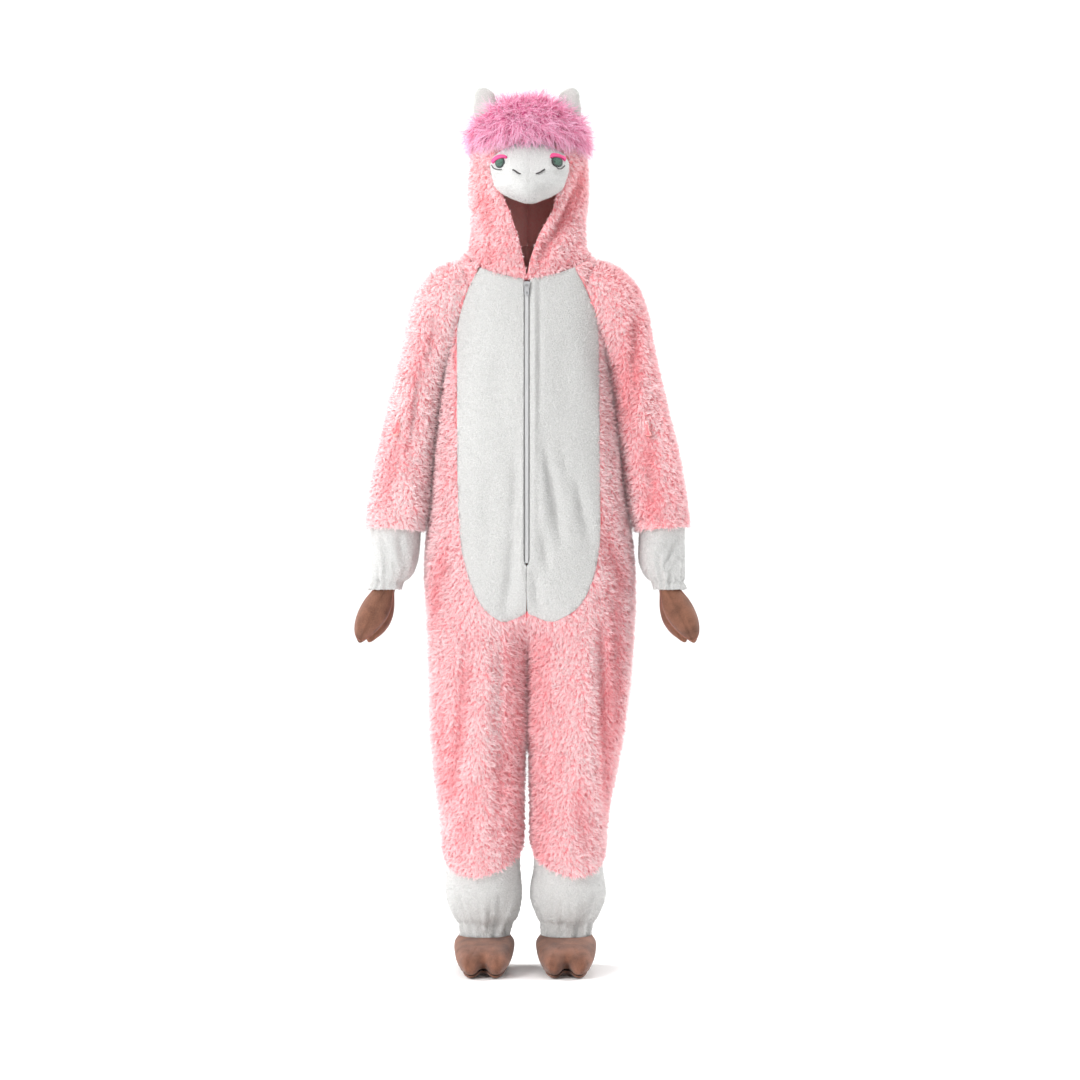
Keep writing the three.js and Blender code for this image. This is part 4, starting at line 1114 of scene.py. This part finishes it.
def hoof_piece(name, nodes, seams, clefts=(), middle=None):
    """One hoof in suede, with the grooves of its seams and the stitches beside them. It
    returns the surface, for what is laid on it."""
    mesh = rounded_solid(name, nodes)
    press_creases(mesh, clefts, 1)
    if middle is not None:
        split_toes(mesh, middle)
    surface = surface_of(mesh)
    grooves = [laid_on(surface, places)[0] for places in seams]
    rows = [
        laid_on(surface, beside(places, offset), 0.0001)
        for places in seams
        for offset in (-2.6, 2.6)
    ]
    for groove in grooves:
        if len(groove) > 1:
            press_seam(mesh, groove, 0.0019, 0.0024)
    piece = new_piece(name, mesh, suede)
    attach(piece, "garment")
    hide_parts(*nodes)
    rows = [row for row in rows if len(row[0]) > 1]
    if rows:
        stitch_along(
            name + "_stitches", rows, brown_thread, "brown_suede",
            Pitch=0.0042, Length=0.0028, Thickness=0.0009,
        )
    return surface


def edge_of_lobe(surface, turn, outer, depth):
    """The line down one side of a mitt's lobe, where its two cuts are piped together."""
    start = turn * (0.5 if outer else 0.15)
    inwards = Vector((-turn if outer else turn, 0, 0))
    casts = [(Vector((start, depth, z)), inwards) for z in np.linspace(-0.645, -0.742, 26)]
    return met(surface, casts, 0.0004)


suede_piping = mottled(
    "suede_piping", 300.0, 3.0, (0, (0.17, 0.062, 0.042)), (1, (0.42, 0.19, 0.14)),
    Roughness=0.8,
)
MITT_SEAMS = {
    "front": [(281, -646), (297, -676), (311, -706), (328, -742)],
    "back": [(276, -646), (287, -676), (296, -706), (308, -742)],
}
PIPING_DEPTH = {"front": -0.058, "back": -0.0145}
for side, turn in (("right", -1), ("left", 1)):
    edges = []
    for lobe, seam in MITT_SEAMS.items():
        surface = hoof_piece(
            f"mitt_{lobe}_suede_{side}", (f"mitt_{lobe}_{side}",),
            [[(turn * x, z) for x, z in seam]],
        )
        for outer in (True, False):
            edges.append(edge_of_lobe(surface, turn, outer, PIPING_DEPTH[lobe]))
    stitch_along(
        "mitt_piping_" + side, [e for e in edges if len(e[0]) > 1], suede_piping,
        "brown_suede", Pitch=0.0022, Length=0.0042, Thickness=0.0026,
    )

for side, middle in (("right", -85), ("left", 78)):
    seams = [
        [(middle + way * 16, -1342), (middle + way * 25, -1352), (middle + way * 29, -1368),
         (middle + way * 29, -1388)]
        for way in (-1, 1)
    ]
    clefts = [
        ((middle - 54, -1336), (middle - 50, -1366), 7, 5),
        ((middle + 54, -1336), (middle + 50, -1366), 7, 5),
        ((middle - 30, -1336), (middle - 16, -1352), 5, 3),
        ((middle + 30, -1336), (middle + 16, -1352), 5, 3),
    ]
    surface = hoof_piece("boot_suede_" + side, ("boot_" + side,), seams, clefts, middle)
    hoof_piece("sole_suede_" + side, ("sole_" + side,), [], middle=middle)
    casts = []
    for turn in np.linspace(0, 2 * math.pi, 121):
        way = Vector((math.sin(turn), -math.cos(turn), 0))
        casts.append((Vector((middle / 1000, -0.05, -1.386)) + way * 0.4, -way))
    stitch_along(
        "sole_stitches_" + side, [met(surface, casts, 0.0002)], brown_thread, "brown_suede",
        Pitch=0.0055, Length=0.0038, Thickness=0.0011,
    )

# Face.
# A padded muzzle and brow of short white plush in two halves, seamed down the middle and
# sewn to the front of the hood. Its lines are worked in dark thread.
FACE_MIDDLE = 5
CHIN_WIDER, CHIN_HIGHER = 0.16, 0.17  # as shares of its size
face_mesh = rounded_solid("face_plush", ("face_right", "face_left"), finer=0)
shape = bmesh.new()
shape.from_mesh(face_mesh)
shape.normal_update()
between = [
    f for f in shape.faces
    if abs(f.normal.x) > 0.97 and abs(f.calc_center_median().x - FACE_MIDDLE / 1000) < 0.0005
]
bmesh.ops.delete(shape, geom=between, context="FACES")
bmesh.ops.remove_doubles(shape, verts=shape.verts, dist=8e-4)
shape.to_mesh(face_mesh)
shape.free()
work = new_piece("face_form", face_mesh)
evened = work.modifiers.new("even", "REMESH")
evened.mode, evened.voxel_size = "VOXEL", 0.0032
softened = work.modifiers.new("soft", "SMOOTH")
softened.factor, softened.iterations = 0.5, 14
face_mesh = baked(work)
face_mesh.shade_smooth()
FACE_CREASES = [
    ((FACE_MIDDLE, 236), (FACE_MIDDLE, 98), 2.4, 1.5),
    ((-64, 172), (-40, 166), 5, 2),
    ((72, 174), (48, 168), 5, 2),
    ((-30, 150), (-18, 128), 9, 1.2),
    ((40, 150), (30, 128), 9, 1.2),
]
points, _ = points_and_normals(face_mesh)
chin = past(points[:, 2], 0.165, -0.05)
points[:, 0] += (points[:, 0] - FACE_MIDDLE / 1000) * CHIN_WIDER * chin
points[:, 2] += np.clip(0.152 - points[:, 2], 0, 1) * CHIN_HIGHER
set_points(face_mesh, points)
press_creases(face_mesh, FACE_CREASES, 1)
face = new_piece("face_plush", face_mesh, fleece)
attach(face, "garment")
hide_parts("face_right", "face_left")
face_surface = surface_of(face_mesh)
nap_over(
    "face", face_mesh, 47, Blades_per_square_metre=330000.0, Length=0.0021, Width=0.0009,
    Gathering=0.2,
)

# Eyes.
# Each eye is a green felt iris with a dark edge, with a strip of magenta felt over it for
# a lid. Both are glued flat to the face, and a dark line is stitched under the eye.
IRIS = {"right": (-52.0, 193.1, 9.9, 11.9), "left": (59.2, 194.6, 11.6, 12.2)}
LID = {
    "right": [(-69.6, 199), (-61.5, 206.5), (-53.2, 209.4), (-45, 208.8), (-37.6, 205.2),
              (-38.6, 200.4), (-44.6, 201), (-51.4, 200.4), (-58.4, 197.6), (-66, 193.4)],
    "left": [(46.8, 210.4), (54, 211.4), (61, 210.6), (69, 208), (76.6, 205.4),
             (75.4, 198.2), (68, 201.4), (60.6, 202.6), (53, 202), (45.6, 201)],
}
EYE_LINES = {
    "right": [(-67, 190.6), (-63.6, 184), (-58.4, 180), (-52, 177.6), (-47, 177)],
    "left": [(47.5, 200.8), (49.6, 192), (53.5, 185.3), (59, 179.6), (66, 180.4),
             (72.4, 187.8)],
}
NOSTRILS = [
    [(-25.8, 172.9), (-21, 169.6), (-16.6, 165.6), (-11.9, 162.8)],
    [(34.3, 173.7), (29.6, 169.8), (24.4, 166), (17.9, 163.2)],
]


def felt_patch(name, surface, outline, rise, finish, nodes):
    """A thin patch of felt laid on a surface, thickest in its middle and closed behind."""
    edge = [np.array(p, dtype=float) for p in outline]
    middle = sum(edge) / len(edge)
    rings = 8
    points, faces, reach = [], [], []
    for ring in range(1, rings + 1):
        part = ring / rings
        for place in edge:
            x, z = (middle + (place - middle) * part) / 1000
            spot, way, _, _ = surface.ray_cast(Vector((x, -1, z)), Vector((0, 1, 0)))
            height = rise * (1 - part ** 6) ** 0.5 - 0.0003 * part
            points.append(spot + way * height)
            reach.append(part)
    count = len(edge)
    for ring in range(rings - 1):
        for i in range(count):
            j = (i + 1) % count
            a, b = ring * count, (ring + 1) * count
            faces.append((a + i, a + j, b + j, b + i))
    faces.append(tuple(reversed(range(count))))
    back = len(points)
    last = (rings - 1) * count
    for i in range(count):
        points.append(points[last + i] + Vector((0, 0.0012, 0)))
        reach.append(1.0)
    for i in range(count):
        j = (i + 1) % count
        faces.append((last + i, last + j, back + j, back + i))
    faces.append(tuple(range(back, back + count)))
    mesh = mesh_of(name, points, faces)
    shape = bmesh.new()
    shape.from_mesh(mesh)
    bmesh.ops.triangulate(shape, faces=[f for f in shape.faces if len(f.verts) > 4])
    bmesh.ops.recalc_face_normals(shape, faces=shape.faces)
    shape.to_mesh(mesh)
    shape.free()
    mesh.shade_smooth()
    kept = mesh.attributes.new("from_middle", "FLOAT", "POINT")
    kept.data.foreach_set("value", reach)
    piece = new_piece(name, mesh, finish)
    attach(piece, "garment")
    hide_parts(*nodes)
    return piece


green_felt, add, look = node_material("green_felt")
tone = tones(
    add, noise(add, 230.0, 5.0, Roughness=0.7), (0.38, (0.006, 0.030, 0.022)),
    (0.68, (0.075, 0.19, 0.13)),
)
rim = tones(add, noted(add, "from_middle"), (0.58, (0, 0, 0)), (0.8, (1, 1, 1)))
rimmed = add("ShaderNodeMix", data_type="RGBA", Factor=rim, A=tone, B=(0.018, 0.028, 0.026, 1))
look(Base_Color=rimmed.outputs["Result"], Roughness=0.75)
magenta_felt = mottled(
    "magenta_felt", 500.0, 3.0, (0, (0.55, 0.03, 0.16)), (1, (0.86, 0.11, 0.30)),
    Roughness=0.8,
)
dark_thread = mottled(
    "dark_thread", 1500.0, 2.0, (0, (0.012, 0.011, 0.012)), (1, (0.07, 0.06, 0.06)),
    Roughness=0.6,
)

lines = []
for side in ("right", "left"):
    x, z, half, tall = IRIS[side]
    round_edge = [
        (x + half * math.cos(t), z + tall * math.sin(t))
        for t in np.linspace(0, 2 * math.pi, 28, endpoint=False)
    ]
    felt_patch(
        "iris_" + side, face_surface, round_edge, 0.0024, green_felt,
        ("eye_" + side,),
    )
    lid_edge = rounded_line(LID[side], parts=4, closed=True)
    felt_patch(
        "lid_felt_" + side, face_surface, lid_edge, 0.0048, magenta_felt,
        ("lid_" + side,),
    )
    lines.append(laid_on(face_surface, EYE_LINES[side], 0.0024))
stitch_along(
    "eye_lines", lines, dark_thread, "green_felt",
    Pitch=0.0006, Length=0.0026, Thickness=0.0012, Turn=1.1,
)
stitch_along(
    "nostril_lines", [laid_on(face_surface, line, 0.0024) for line in NOSTRILS],
    dark_thread, "green_felt",
    Pitch=0.0006, Length=0.0042, Thickness=0.0014, Turn=1.1,
)

# Ears.
# Two stuffed ears of the white plush, each cut in two and seamed round its edge, stand up
# from the crown of the hood. Their inner edges are a little greyer.
EAR_OUTSIDE = 0.108
EAR_WIDER, TIP_ROUNDER = 1.15, 0.55
ear_plush, add, look = node_material("ear_plush")
loops = noise(add, 420.0, 3.0)
greyed = add(
    "ShaderNodeMix", data_type="RGBA", Factor=noted(add, "inner_edge"),
    A=tones(add, loops, (0, (0.46, 0.47, 0.45)), (1, (0.66, 0.67, 0.64))),
    B=(0.36, 0.37, 0.34, 1),
)
look(
    Base_Color=greyed.outputs["Result"], Normal=raised(add, loops, 0.6, 0.0015),
    Roughness=0.92,
)
for side, turn, seed in (("right", -1, 48), ("left", 1, 49)):
    mesh = rounded_solid("ear_plush_" + side, ("ear_" + side,))
    points, _ = points_and_normals(mesh)
    across, height = points[:, 0] * turn, points[:, 2]
    outer = across[height > 0.31].max()
    tip = across[height.argmax()]
    near_tip = past(height, height.max() - 0.022, 0.022)
    rounder = tip + (across - tip) * (1 + TIP_ROUNDER * near_tip)
    wider = EAR_OUTSIDE - (outer - rounder) * EAR_WIDER
    stands = past(height, 0.265, 0.03)
    points[:, 0] = (rounder + (wider - rounder) * stands) * turn
    set_points(mesh, points)
    from_outside = past(points[:, 0] * turn, 0.083, -0.02)
    kept = mesh.attributes.new("inner_edge", "FLOAT", "POINT")
    kept.data.foreach_set("value", from_outside ** 2 * 0.8)
    nap_over("ear_" + side, mesh, seed, Length=0.0026, Width=0.0009)
    piece = new_piece("ear_plush_" + side, mesh, ear_plush)
    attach(piece, "garment")
    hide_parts("ear_" + side)

# Mane.
# Long magenta-pink pile with a loose curl, on one piece of cloth that is sewn to the hood
# from the brow over the crown. It is left open round the roots of the ears.
mane_pile, add, look = node_material("mane_pile")
tone = shared(add, noted(add, "shade_of_blade"), 0.5, noted(add, "along_blade"))
tone = tones(
    add, tone, (0, (0.60, 0.08, 0.25)), (0.5, (0.84, 0.23, 0.42)), (1, (0.93, 0.56, 0.74))
)
look(Base_Color=tone, Roughness=0.55, Sheen_Weight=0.2)
mane_cloth = mottled(
    "mane_cloth", 200.0, 3.0, (0, (0.5, 0.05, 0.2)), (1, (0.75, 0.14, 0.36)), Roughness=0.9
)

skin = outer_skin(("mane",), 1, -0.012, around=Vector((0, 0, 0.2)))
shape = bmesh.new()
shape.from_mesh(skin)
round_ears = [
    f for f in shape.faces
    if abs(f.calc_center_median().x) > 0.055
    and abs(f.calc_center_median().y + 0.03) < 0.022 and f.calc_center_median().z > 0.262
]
bmesh.ops.delete(shape, geom=round_ears, context="FACES")
shape.to_mesh(skin)
shape.free()
skin.shade_smooth()
strands = grown(
    "mane_pile", skin, curly_pile, mane_pile,
    Blades_per_square_metre=230000.0, Length=0.034, Width=0.0009, Curl=0.013,
    Curl_size=0.016, Gathering=0.7, Unruly=0.65, Lie=(0, 0, -0.8), Joints=4, Seed=31,
)
cloth = new_piece("mane_cloth", skin, mane_cloth)
give_wall(cloth, 0.002)
for piece in (cloth, strands):
    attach(piece, "garment")
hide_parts("mane")
